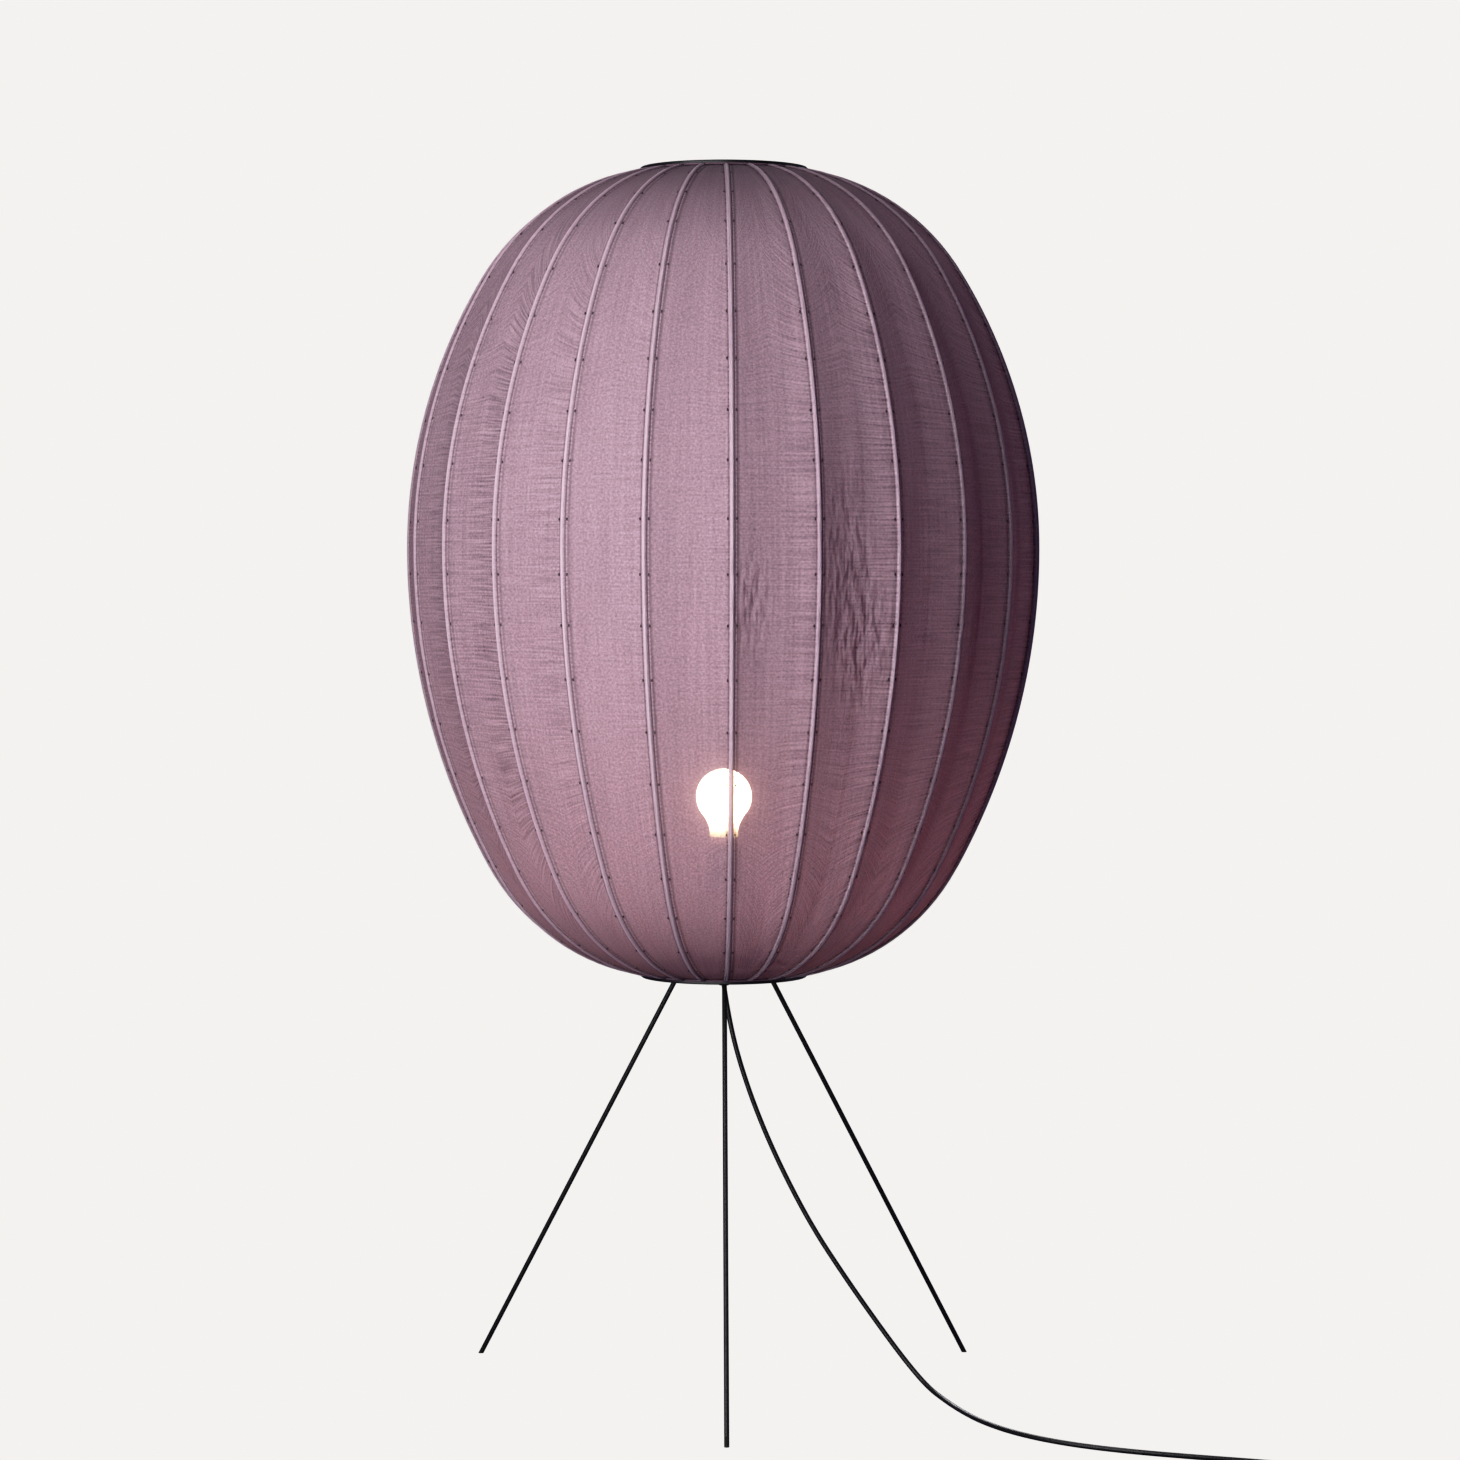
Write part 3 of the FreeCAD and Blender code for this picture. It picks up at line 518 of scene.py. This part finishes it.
def panel_puckers():
    """Short upright puckers for every panel: place across and up it, half sizes, and depth."""
    return [[(
        rng.uniform(0.12, 0.9), rng.triangular(0.1, 0.9, 0.5),
        rng.uniform(0.005, 0.009), rng.uniform(0.02, 0.06), rng.uniform(-0.0008, 0.0012),
    ) for _ in range(PUCKERS)] for _ in range(RIB_COUNT)]


def nearness(patch, across, width, up_cloth):
    """How near a point on a panel is to the middle of a patch, from 0 to 1."""
    share, rise, half_width, half_length = patch
    sideways = (across - share * width) / half_width
    upward = (up_cloth - rise * profile_length) / half_length
    return math.exp(-sideways * sideways - upward * upward)


def knitted_tube():
    """The tube spun from one profile, its columns gathered to the ribs and its panels drawn in."""
    bm = bmesh.new()
    radius, height, _ = station_at(0)
    swept(bm, [bm.verts.new(rib_out * radius + UP * height)], SHADE_ROWS)
    columns = RIB_COUNT * PANEL_COLUMNS
    bmesh.ops.spin(
        bm, geom=bm.verts[:] + bm.edges[:], cent=(0, 0, 0), axis=UP, angle=math.tau, steps=columns,
        use_merge=True,
    )
    bmesh.ops.remove_doubles(bm, verts=bm.verts, dist=WELD)
    bmesh.ops.recalc_face_normals(bm, faces=bm.faces)
    rib_marks = bm.verts.layers.float_color.new("rib_marks")
    slack_and_course_shade = bm.verts.layers.float_color.new("slack_and_course_shade")
    cloth_map = bm.loops.layers.uv.new("cloth_map")
    puckers = panel_puckers()
    on_cloth = {}
    for vert in bm.verts:
        turn = (math.atan2(vert.co.x, -vert.co.y) - RIB_TURN) % math.tau
        panel, place = divmod(round(turn / math.tau * columns) % columns, PANEL_COLUMNS)
        up_cloth = along_cloth(vert.co.z)
        radius, height, angle = station_at(up_cloth)
        width = math.tau * radius / RIB_COUNT
        across, inset = panel_column(place, width)
        share = across / width
        hollow = math.sin(math.pi * up_cloth / profile_length) * 4 * share * (1 - share)
        pucker = sum(
            depth * nearness(patch, across, width, up_cloth) for *patch, depth in puckers[panel]
        )
        inset += PANEL_DEPTH * hollow + pucker * min(1, 2 * hollow)
        out = outward(RIB_TURN + (panel + share) * math.tau / RIB_COUNT)
        vert.co = out * (radius - inset * math.cos(angle)) + UP * (height - inset * math.sin(angle))
        on_cloth[vert] = ((panel + share) * EQUATOR_PANEL, up_cloth)

        column = place if place < PANEL_COLUMNS / 2 else place - PANEL_COLUMNS
        marks = [marked.get(column, 0.0) for marked in (RIDGE_AND_HIGHLIGHT, CREASE_SHADE, STITCHED)]
        vert[rib_marks] = (*marks, share)
        loose = sum(
            nearness(patch, across, width, up_cloth)
            for number, *patch in SLACK_PATCHES if number == panel
        )
        from_front = panel if panel < RIB_COUNT / 2 else panel - RIB_COUNT
        vert[slack_and_course_shade] = (loose, COURSE_SHADE_BY_PANEL.get(from_front, 1.0), 0.0, 1.0)
    around = RIB_COUNT * EQUATOR_PANEL
    for face in bm.faces:
        places = [on_cloth[loop.vert] for loop in face.loops]
        crosses = max(u for u, _ in places) - min(u for u, _ in places) > around / 2
        for loop, (u, v) in zip(face.loops, places):
            loop[cloth_map].uv = (u + around if crosses and u < around / 2 else u, v)
    return bm


def mauve_knit():
    """Fine weft knit in melange yarn. Its courses lie level at the shade's widest and fan towards the
    hems in each panel, where the knit is drawn in. Towards the hems its colour is darkened: painted
    shade on the shoulders, which turn away from the light. The real courses are about 1 mm and the
    yarn's flecks finer: both are drawn as coarse as they need to show."""
    material, tree, shader = blank_material("mauve_weft_knit")
    cloth = add(tree, "UVMap", uv_map="cloth_map").outputs["UV"]
    place = add(tree, "SeparateXYZ", {"Vector": cloth})
    across, along = place.outputs["X"], place.outputs["Y"]
    at_rib = add(tree, "VertexColor", layer_name="rib_marks")
    share = at_rib.outputs["Alpha"]
    marks = add(tree, "SeparateColor", {"Color": at_rib.outputs["Color"]})
    ridge_and_highlight, crease_shade, flange = (marks.outputs[name] for name in ("Red", "Green", "Blue"))
    slack_shade_node = add(tree, "VertexColor", layer_name="slack_and_course_shade")
    slack_and_shade = add(tree, "SeparateColor", {"Color": slack_shade_node.outputs["Color"]})

    from_rib = add(tree, "Math", {0: share, 1: 0.5}, operation="PINGPONG").outputs[0]
    rise = add(tree, "MapRange", {
        "Value": along, "From Max": profile_length,
        "To Min": LEVEL_RISE, "To Max": LEVEL_RISE - 1,
    }).outputs["Result"]
    fan = add(tree, "Math", {0: rise, 1: 3.0}, operation="POWER").outputs[0]
    tilt = add(tree, "Math", {0: fan, 1: COURSE_FAN}, operation="MULTIPLY").outputs[0]
    level = add(tree, "Math", {0: from_rib, 1: tilt, 2: along}, operation="MULTIPLY_ADD").outputs[0]
    on_course = add(tree, "CombineXYZ", {"X": across, "Y": level}).outputs["Vector"]

    yarn = add(tree, "TexNoise", {
        "Vector": cloth, "Scale": per(FLECK), "Detail": 2.0, "Roughness": 0.7,
    }).outputs["Fac"]
    course_map = add(tree, "Mapping", {
        "Vector": on_course, "Scale": (per(COURSE[0]), per(COURSE[1]), 1.0),
    })
    course = add(tree, "TexNoise", {
        "Vector": course_map.outputs["Vector"], "Scale": 1.0, "Detail": 0.0,
    }).outputs["Fac"]
    streak_map = add(tree, "Mapping", {
        "Vector": cloth, "Scale": (per(STREAK[0]), per(STREAK[1]), 1.0),
    })
    streak = add(tree, "TexNoise", {
        "Vector": streak_map.outputs["Vector"], "Scale": 1.0, "Detail": 2.0,
    }).outputs["Fac"]
    cloud = add(tree, "TexNoise", {"Vector": cloth, "Scale": per(CLOUD), "Detail": 2.0}).outputs["Fac"]
    wrinkle_map = add(tree, "Mapping", {
        "Vector": cloth, "Scale": (per(WRINKLE[0]), per(WRINKLE[1]), 1.0),
    })
    stroke = add(tree, "TexNoise", {
        "Vector": wrinkle_map.outputs["Vector"], "Scale": 1.0, "Detail": 1.0,
    })
    strokes = add(tree, "MapRange", {
        "Value": stroke.outputs["Fac"], "From Min": 0.36, "From Max": 0.7,
    })
    wrinkle_bump_and_shade = add(tree, "Math", {
        0: strokes.outputs["Result"], 1: slack_and_shade.outputs["Red"],
    }, operation="MULTIPLY").outputs[0]

    # The course lines are the knit's own; how strongly they show by panel, and more towards each
    # panel's right end, is painted shade of raking light.
    plain = add(tree, "Math", {0: course, 1: 0.5}, operation="SUBTRACT")
    raking_shade_across = add(tree, "MapRange", {
        "Value": share, "From Min": 0.25, "From Max": 0.95, "To Min": 0.55, "To Max": 1.45,
    })
    panel_course_shade = add(tree, "Math", {
        0: plain.outputs[0], 1: slack_and_shade.outputs["Green"],
    }, operation="MULTIPLY")
    line = add(tree, "Math", {
        0: panel_course_shade.outputs[0], 1: raking_shade_across.outputs["Result"],
    }, operation="MULTIPLY").outputs[0]

    tone = 0.12
    # Besides their bump the wrinkles darken the colour: painted shade in their folds.
    for source, weight in ((line, 0.9), (yarn, 1.6), (streak, 0.5), (cloud, 0.2), (wrinkle_bump_and_shade, -0.18)):
        tone = add(tree, "Math", {
            0: source, 1: weight, 2: tone,
        }, operation="MULTIPLY_ADD").outputs[0]
    lightness = add(tree, "MapRange", {
        "Value": tone, "From Min": TONE_LOW, "From Max": TONE_HIGH,
    })
    colour = add(tree, "MixRGB", {
        "Fac": lightness.outputs["Result"], "Color1": linear("7E6979"), "Color2": linear("CDBBC1"),
    })

    # Painted shade: the colour darkens towards both hems, where the shoulders turn away from the light.
    from_middle = add(tree, "Math", {0: rise}, operation="ABSOLUTE")
    hem_shade_share = add(tree, "MapRange", {
        "Value": from_middle.outputs[0], "From Min": 0.34, "From Max": 0.5, "To Max": 0.65,
    })
    hem_shaded = add(tree, "MixRGB", {
        "Fac": hem_shade_share.outputs["Result"],
        "Color1": colour.outputs["Color"], "Color2": linear("5A4352"),
    })

    stitch_turn = add(tree, "Math", {0: along, 1: math.tau * per(STITCH)}, operation="MULTIPLY")
    stitch = add(tree, "Math", {0: stitch_turn.outputs[0]}, operation="SINE")
    dots = add(tree, "Math", {
        0: stitch.outputs[0], 1: flange,
    }, operation="MULTIPLY", use_clamp=True)
    dotted = add(tree, "MixRGB", {
        "Fac": dots.outputs[0], "Color1": hem_shaded.outputs["Color"], "Color2": linear("E4CAD5"),
    })
    # Pale ridge over each rod: partly the tuck's own lighter colour, partly a painted highlight along
    # its crest.
    with_ridge_highlight = add(tree, "MixRGB", {
        "Fac": ridge_and_highlight, "Color1": dotted.outputs["Color"], "Color2": linear("CDB8C2"),
    })
    # Painted shade: the creases beside each rib are darkened in the colour.
    with_crease_shade = add(tree, "MixRGB", {
        "Fac": crease_shade, "Color1": with_ridge_highlight.outputs["Color"], "Color2": linear("4A2E3D"),
    }).outputs["Color"]

    height = 0.0
    for source, weight in ((yarn, 0.5), (course, 0.4), (streak, 0.6), (wrinkle_bump_and_shade, -3.0)):
        height = add(tree, "Math", {
            0: source, 1: weight, 2: height,
        }, operation="MULTIPLY_ADD").outputs[0]
    bump = add(tree, "Bump", {
        "Height": height, "Strength": 1.0, "Distance": 0.001,
    }).outputs["Normal"]
    connect(tree, shader, {
        "Base Color": with_crease_shade, "Normal": bump, "Roughness": 0.9,
        "Sheen Weight": 0.06, "Sheen Roughness": 0.4,
    })

    deeper = add(tree, "MixRGB", {
        "Fac": 1.0, "Color1": with_crease_shade, "Color2": linear("FFC6E0"),
    }, blend_type="MULTIPLY")
    through = add(tree, "BsdfTranslucent", {"Color": deeper.outputs["Color"], "Normal": bump})
    cloth_shader = add(tree, "MixShader", {
        "Fac": LET_THROUGH, 1: shader.outputs["BSDF"], 2: through.outputs["BSDF"],
    })
    closed = add(tree, "MapRange", {
        "Value": tone, "From Min": TONE_LOW, "From Max": TONE_HIGH,
        "To Min": CLOSED_LOW, "To Max": CLOSED_HIGH,
    })
    over_rod = add(tree, "MapRange", {"Value": ridge_and_highlight, "From Max": 0.1})
    solid = add(tree, "Math", {
        0: closed.outputs["Result"], 1: over_rod.outputs["Result"],
    }, operation="MAXIMUM")
    holes = add(tree, "BsdfTransparent")
    open_shader = add(tree, "MixShader", {
        "Fac": solid.outputs[0], 1: holes.outputs["BSDF"], 2: cloth_shader.outputs["Shader"],
    })
    connect(tree, tree.nodes["Material Output"], {"Surface": open_shader.outputs["Shader"]})
    return material


shade = piece("knitted_shade_cloth", knitted_tube(), mauve_knit())
wall = shade.modifiers.new("wall", "SOLIDIFY")
wall.thickness = KNIT_WALL
wall.offset = -1.0
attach(shade, "lamp")
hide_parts("knitted_shade")


# Rod tunnels. A sheer woven tape behind each rib, sewn to the cloth down both edges, which keeps the
# rod in line. Seen from inside, through the upper ring, and as a faint veil where it crosses the bulb.

TAPE_SECTION = [
    (-0.0050, 0.0054), (-0.0022, 0.0053), (0.0, 0.0053), (0.0022, 0.0053), (0.0050, 0.0054),
]
TAPE_WALL = 0.0005


def tunnel_tapes():
    """A strip swept up the profile behind the rod, then repeated."""
    bm = bmesh.new()
    swept(bm, section(bm, TAPE_SECTION, False), ROD_ROWS)
    bmesh.ops.recalc_face_normals(bm, faces=bm.faces)
    all_round(bm)
    return bm


def sheer_tape():
    """Sheer leno tape: mostly open, so the bulb shows through it, and a shade darker than the knit."""
    material, tree, shader = blank_material("mauve_sheer_tape")
    where = add(tree, "TexCoord").outputs["Object"]
    weft = add(tree, "TexNoise", {"Vector": where, "Scale": per(1.6), "Detail": 2.0}).outputs["Fac"]
    colour = add(tree, "MixRGB", {
        "Fac": weft, "Color1": linear("8A6C7B"), "Color2": linear("B093A2"),
    })
    bump = add(tree, "Bump", {"Height": weft, "Strength": 0.4, "Distance": 0.0003})
    connect(tree, shader, {
        "Base Color": colour.outputs["Color"], "Normal": bump.outputs["Normal"], "Roughness": 0.9,
    })
    closed = add(tree, "MapRange", {"Value": weft, "To Min": 0.2, "To Max": 0.32})
    holes = add(tree, "BsdfTransparent")
    open_shader = add(tree, "MixShader", {
        "Fac": closed.outputs["Result"], 1: holes.outputs["BSDF"], 2: shader.outputs["BSDF"],
    })
    connect(tree, tree.nodes["Material Output"], {"Surface": open_shader.outputs["Shader"]})
    return material


tapes = piece("rod_tunnel_strips", tunnel_tapes(), sheer_tape())
tape_wall = tapes.modifiers.new("wall", "SOLIDIFY")
tape_wall.thickness = TAPE_WALL
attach(tapes, "lamp")
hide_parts("rod_tunnel_tapes")


# Tack stitches and hems. Dark plum sewing thread catches the tape to the knit in pairs, one each side
# of every rib, about 52 mm apart up it. The knit's own edge is rolled into a thin dense welt at each
# ring.

TACK_STEP = 0.052
TACK_WANDER = 0.003
TACK_SIDE = 0.0043
TACK_SIZE = (0.0009, 0.0018, 0.0008)
# How deep the cloth lies beside a rib, at the hems and how much more at the middle.
TACK_SUNK = 0.0019
TACK_HOLLOW = 0.0014
WELT_RADIUS = 0.0011
WELT_SIDES = 8
WELT_STEPS = 144


def tack_stitches():
    """Flat knots set into the cloth on both sides of a rib, then repeated at the others."""
    bm = bmesh.new()
    count = int(profile_length / TACK_STEP)
    start = (profile_length - TACK_STEP * (count - 1)) / 2
    for row in range(count):
        up_cloth = start + TACK_STEP * row + rng.uniform(-TACK_WANDER, TACK_WANDER)
        radius, height, angle = station_at(up_cloth)
        normal = rib_out * math.cos(angle) + UP * math.sin(angle)
        turn = Matrix((rib_side, normal.cross(rib_side), normal)).transposed().to_4x4()
        sunk = TACK_SUNK + TACK_HOLLOW * math.sin(math.pi * up_cloth / profile_length)
        for side in (-TACK_SIDE, TACK_SIDE):
            place = rib_out * radius + UP * height - normal * sunk + rib_side * side
            knot = bmesh.ops.create_icosphere(bm, subdivisions=1, radius=1.0)["verts"]
            bmesh.ops.scale(bm, vec=TACK_SIZE, verts=knot)
            bmesh.ops.transform(bm, matrix=Matrix.Translation(place) @ turn, verts=knot)
    all_round(bm)
    return bm


def hem_welts():
    """A thin roll of cloth spun round each hem."""
    bm = bmesh.new()
    upright = Matrix.Rotation(math.pi / 2, 4, "X")
    for height in (hem_low + WELT_RADIUS, hem_high - WELT_RADIUS):
        ring = bmesh.ops.create_circle(
            bm, segments=WELT_SIDES, radius=WELT_RADIUS,
            matrix=Matrix.Translation((HEM_RADIUS, 0, height)) @ upright,
        )["verts"]
        edges = list({edge for vert in ring for edge in vert.link_edges})
        bmesh.ops.spin(
            bm, geom=ring + edges, cent=(0, 0, 0), axis=UP, angle=math.tau, steps=WELT_STEPS,
            use_merge=True,
        )
    bmesh.ops.remove_doubles(bm, verts=bm.verts, dist=WELD)
    bmesh.ops.recalc_face_normals(bm, faces=bm.faces)
    return bm


def sewing_thread(name, dark, light):
    """Twisted polyester thread: a slight lustre broken by its twist."""
    material, tree, shader = blank_material(name)
    where = add(tree, "TexCoord").outputs["Object"]
    twist = add(tree, "TexNoise", {"Vector": where, "Scale": per(0.9), "Detail": 2.0})
    colour = add(tree, "MixRGB", {
        "Fac": twist.outputs["Fac"], "Color1": linear(dark), "Color2": linear(light),
    })
    connect(tree, shader, {"Base Color": colour.outputs["Color"], "Roughness": 0.6})
    return material


plum_thread = sewing_thread("plum_sewing_thread", "2A1822", "422B37")
tacks = piece("tack_stitches", tack_stitches(), plum_thread)
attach(tacks, "lamp")
welts = piece("hem_welts", hem_welts(), sewing_thread("plum_welt_yarn", "523D4A", "785E6C"))
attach(welts, "lamp")


# Cord. A round two-core mains lead, 5 mm, sheathed in smooth black plastic. It drops from the bush
# under the plate, lands to the right of the front leg and runs off to the front, through a foot switch.
# What the lead has left over is wound in a small coil with a strap round it, and ends in its plug.

CORD_RADIUS = 0.0025
CORD_LIE = 0.00255
SWITCH_CENTRE = Vector((0.472, -0.486, 0.004))
SWITCH_HALF = Vector((0.040, 0, 0))
COIL_CENTRE = Vector((0.376, -0.452, 0))
COIL_RADIUS = 0.034
COIL_PITCH = 0.0056
COIL_TURNS = 1.75
COIL_CLIMB = 0.5
COIL_LOW = 0.0036
COIL_STEPS = 16
COIL_LEAD_IN = Vector((0.2 * COIL_RADIUS, 0, 0))

cord_exit = Vector((0, 0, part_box("cord_bushing")[0].z))
switch_near = SWITCH_CENTRE + SWITCH_HALF
switch_far = SWITCH_CENTRE - SWITCH_HALF
coil_start = COIL_CENTRE + Vector((0, -COIL_RADIUS, COIL_LOW))
plug_entry = Vector((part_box("plug_body")[1].x, coil_start.y, COIL_LOW + COIL_PITCH))

CORD_ROUTE = [
    (0.004, 0, 0.384),
    (0.0145, -0.001, 0.338),
    (0.0335, -0.003, 0.282),
    (0.0585, -0.008, 0.225),
    (0.091, -0.017, 0.164),
    (0.126, -0.027, 0.112),
    (0.158, -0.039, 0.068),
    (0.186, -0.053, 0.032),
    (0.208, -0.072, 0.009),
    (0.223, -0.101, CORD_LIE),
    (0.236, -0.150, CORD_LIE),
    (0.255, -0.204, CORD_LIE),
    (0.287, -0.257, CORD_LIE),
    (0.331, -0.299, CORD_LIE),
    (0.386, -0.330, CORD_LIE),
    (0.449, -0.354, CORD_LIE),
    (0.512, -0.375, CORD_LIE),
    (0.566, -0.398, CORD_LIE),
    (0.596, -0.424, CORD_LIE),
    (0.597, -0.457, CORD_LIE),
    (0.571, -0.479, CORD_LIE),
    (0.540, -0.4855, CORD_LIE + 0.0005),
]


def coil_points():
    """Control points of the coil: in on the floor, up a layer over half a turn, and out again."""
    outside = 1 / math.cos(math.pi / COIL_STEPS)
    points = []
    for step in range(1, int((2 * COIL_TURNS + COIL_CLIMB) * COIL_STEPS)):
        turn = step / COIL_STEPS
        climb = min(max((turn - COIL_TURNS) / COIL_CLIMB, 0), 1)
        wound_in = min(turn, COIL_TURNS)
        wound_out = max(turn - COIL_TURNS - COIL_CLIMB, 0)
        tucked = COIL_PITCH / 4 * math.sin(math.pi * climb)
        radius = COIL_RADIUS + COIL_PITCH * (wound_out - wound_in) - tucked
        height = COIL_LOW + COIL_PITCH * climb * climb * (3 - 2 * climb)
        points.append(COIL_CENTRE + outward(-math.tau * turn) * radius * outside + UP * height)
    return points


def round_lead():
    """One spline from the bush to the plug, with the turns of the coil among its points."""
    curve = bpy.data.curves.new("mains_lead", "CURVE")
    curve.dimensions = "3D"
    curve.bevel_depth = CORD_RADIUS
    curve.bevel_resolution = 4
    curve.resolution_u = 6
    curve.use_fill_caps = True
    points = [
        cord_exit, *CORD_ROUTE, switch_near, SWITCH_CENTRE, switch_far,
        switch_far.lerp(coil_start, 0.35), switch_far.lerp(coil_start, 0.65),
        coil_start + COIL_LEAD_IN, *coil_points(), plug_entry + COIL_LEAD_IN, plug_entry,
    ]
    spline = curve.splines.new("NURBS")
    spline.points.add(len(points) - 1)
    for point, place in zip(spline.points, points):
        point.co = (*place, 1.0)
    spline.order_u = 3
    spline.use_endpoint_u = True
    made = bpy.data.objects.new("mains_lead", curve)
    bpy.context.scene.collection.objects.link(made)
    return made


def extruded_sheath():
    """Extruded flexible plastic: smooth and satin, with the faintest waver from the extruder."""
    material, tree, shader = blank_material("black_extruded_sheath")
    where = add(tree, "TexCoord").outputs["Object"]
    waver = add(tree, "TexNoise", {"Vector": where, "Scale": per(9), "Detail": 2.0})
    skin = add(tree, "TexNoise", {"Vector": where, "Scale": per(0.8), "Detail": 2.0}).outputs["Fac"]
    colour = add(tree, "MixRGB", {
        "Fac": waver.outputs["Fac"], "Color1": linear("0A0A0B"), "Color2": linear("161517"),
    })
    rough = add(tree, "MapRange", {"Value": skin, "To Min": 0.4, "To Max": 0.55})
    bump = add(tree, "Bump", {"Height": skin, "Strength": 0.15, "Distance": 0.0001})
    connect(tree, shader, {
        "Base Color": colour.outputs["Color"], "Roughness": rough.outputs["Result"],
        "Normal": bump.outputs["Normal"],
    })
    return material


sheath = extruded_sheath()
dress(["cord_riser"], sheath)
lead = round_lead()
lead.data.materials.append(sheath)
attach(lead, "lamp")
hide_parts("cord_run", "cord_link", "cord_coil")


# Foot switch, strap and plug. The switch is two moulded half shells with a glossy push button, the
# strap a soft plastic band, the plug a moulded body over two nickel-plated pins.

dress(["switch_base", "switch_cover", "plug_body"], satin_black)
dress(["switch_button"], moulded_plastic("black_gloss_button", "111112", "1D1C1E", 0.15, 0.25))
dress(["coil_tie"], moulded_plastic("dark_strap_plastic", "1E1D1E", "2C2A2B", 0.5, 0.65))
dress(["plug_pins"], rolled_metal("nickel_plated_brass", "B5B0A6", "D6D2C8", 0.15, 0.3))


# Camera, floor and light. The lamp stands on a plain pale floor before a backdrop of the same tone.
# Two tall strip boxes near it at the front left light the panels that face them, a weak one at the
# right keeps the dark side from closing up, and a wide one lights the back.

CAMERA_PLACE = (0.00625, -4.0, 0.8449)
CAMERA_DIP = math.radians(2.417)
FOCAL_SHARE = 3889.3 / 1460
SENSOR_WIDTH = 36.0
BACKDROP = linear("F4F2F0")
DIM_ROOM = linear("524D6A")
FLOOR_HALF = 30
# Each box: degrees from the front towards the right, distance from the axis, height above the shade's
# widest, width and height, and watts.
SOFT_BOXES = {
    "front_box": (-13, 0.9, 0.64, (0.2, 3.0), 13.8),
    "side_box": (-43, 1.4, 0.64, (0.2, 3.0), 25.0),
    "fill_box": (105, 1.4, 0.2, (0.2, 2.4), 1.8),
    "back_box": (180, 1.5, 0.64, (0.5, 3.0), 34.0),
}

view = bpy.data.cameras.new("photo_view")
view.sensor_width = SENSOR_WIDTH
view.lens = FOCAL_SHARE * SENSOR_WIDTH
camera = bpy.data.objects.new("photo_view", view)
camera.location = CAMERA_PLACE
camera.rotation_euler = (math.pi / 2 - CAMERA_DIP, 0, 0)
bpy.context.scene.collection.objects.link(camera)
bpy.context.scene.camera = camera


def backdrop(tree):
    """The pale tone for what the camera sees, and a dim one for what lights the lamp."""
    seen = add(tree, "LightPath").outputs["Is Camera Ray"]
    tone = add(tree, "MixRGB", {"Fac": seen, "Color1": DIM_ROOM, "Color2": BACKDROP})
    return tone.outputs["Color"]


def pale_floor():
    """An even floor with no shadow on it, like a cut-out's ground."""
    material, tree, _ = blank_material("pale_floor")
    glow = add(tree, "Emission", {"Color": backdrop(tree)})
    connect(tree, tree.nodes["Material Output"], {"Surface": glow.outputs["Emission"]})
    return material


floor_mesh = bmesh.new()
bmesh.ops.create_grid(floor_mesh, x_segments=1, y_segments=1, size=FLOOR_HALF)
floor = piece("floor", floor_mesh, pale_floor())

world = bpy.data.worlds.new("studio")
world.use_nodes = True
bpy.context.scene.world = world
air = world.node_tree
connect(air, air.nodes["Background"], {"Color": backdrop(air)})


def soft_box(name, azimuth, distance, raised, size, power):
    """A rectangular soft box that faces the lamp's axis and stays out of the camera's sight."""
    light = bpy.data.lights.new(name, "AREA")
    light.shape = "RECTANGLE"
    light.size, light.size_y = size
    light.energy = power
    box = bpy.data.objects.new(name, light)
    facing = outward(math.radians(azimuth))
    box.location = UP * (EQUATOR_HEIGHT + raised) + facing * distance
    box.rotation_euler = facing.to_track_quat("Z", "Y").to_euler()
    box.visible_camera = False
    bpy.context.scene.collection.objects.link(box)


for box_name, box_setting in SOFT_BOXES.items():
    soft_box(box_name, *box_setting)


# The photograph's own finish: a contrast curve that deepens its shadows, and a bloom round the bulb.
# Both only touch the picture, not the model.

BLOOM = {"Threshold": 1.0, "Strength": 0.22, "Size": 0.3}
SHADOW_POWER = 1.3
SHADOW_TOP = 0.5
CURVE_STEPS = (
    0.03, 0.06, 0.1, 0.15, 0.2, 0.25, 0.3, 0.35, 0.4, 0.45, 0.5, 0.55, 0.6, 0.7, 0.8, 0.9,
)


def deepened(level):
    """A level on the contrast curve, which leaves the upper half as it is."""
    return SHADOW_TOP * (level / SHADOW_TOP) ** SHADOW_POWER if level < SHADOW_TOP else level


def photo_finish(scene):
    """Bloom on what is brighter than the backdrop, and then the curve."""
    scene.view_settings.view_transform = "Standard"
    scene.use_nodes = True
    tree = scene.node_tree
    tree.nodes.clear()
    layers = tree.nodes.new("CompositorNodeRLayers")
    bloom = tree.nodes.new("CompositorNodeGlare")
    bloom.glare_type = "BLOOM"
    connect(tree, bloom, {"Image": layers.outputs["Image"], **BLOOM})
    curve = tree.nodes.new("CompositorNodeCurveRGB")
    for level in CURVE_STEPS:
        curve.mapping.curves[3].points.new(level, deepened(level))
    curve.mapping.update()
    connect(tree, curve, {"Image": bloom.outputs["Image"]})
    output = tree.nodes.new("CompositorNodeComposite")
    connect(tree, output, {"Image": curve.outputs["Image"]})


photo_finish(bpy.context.scene)
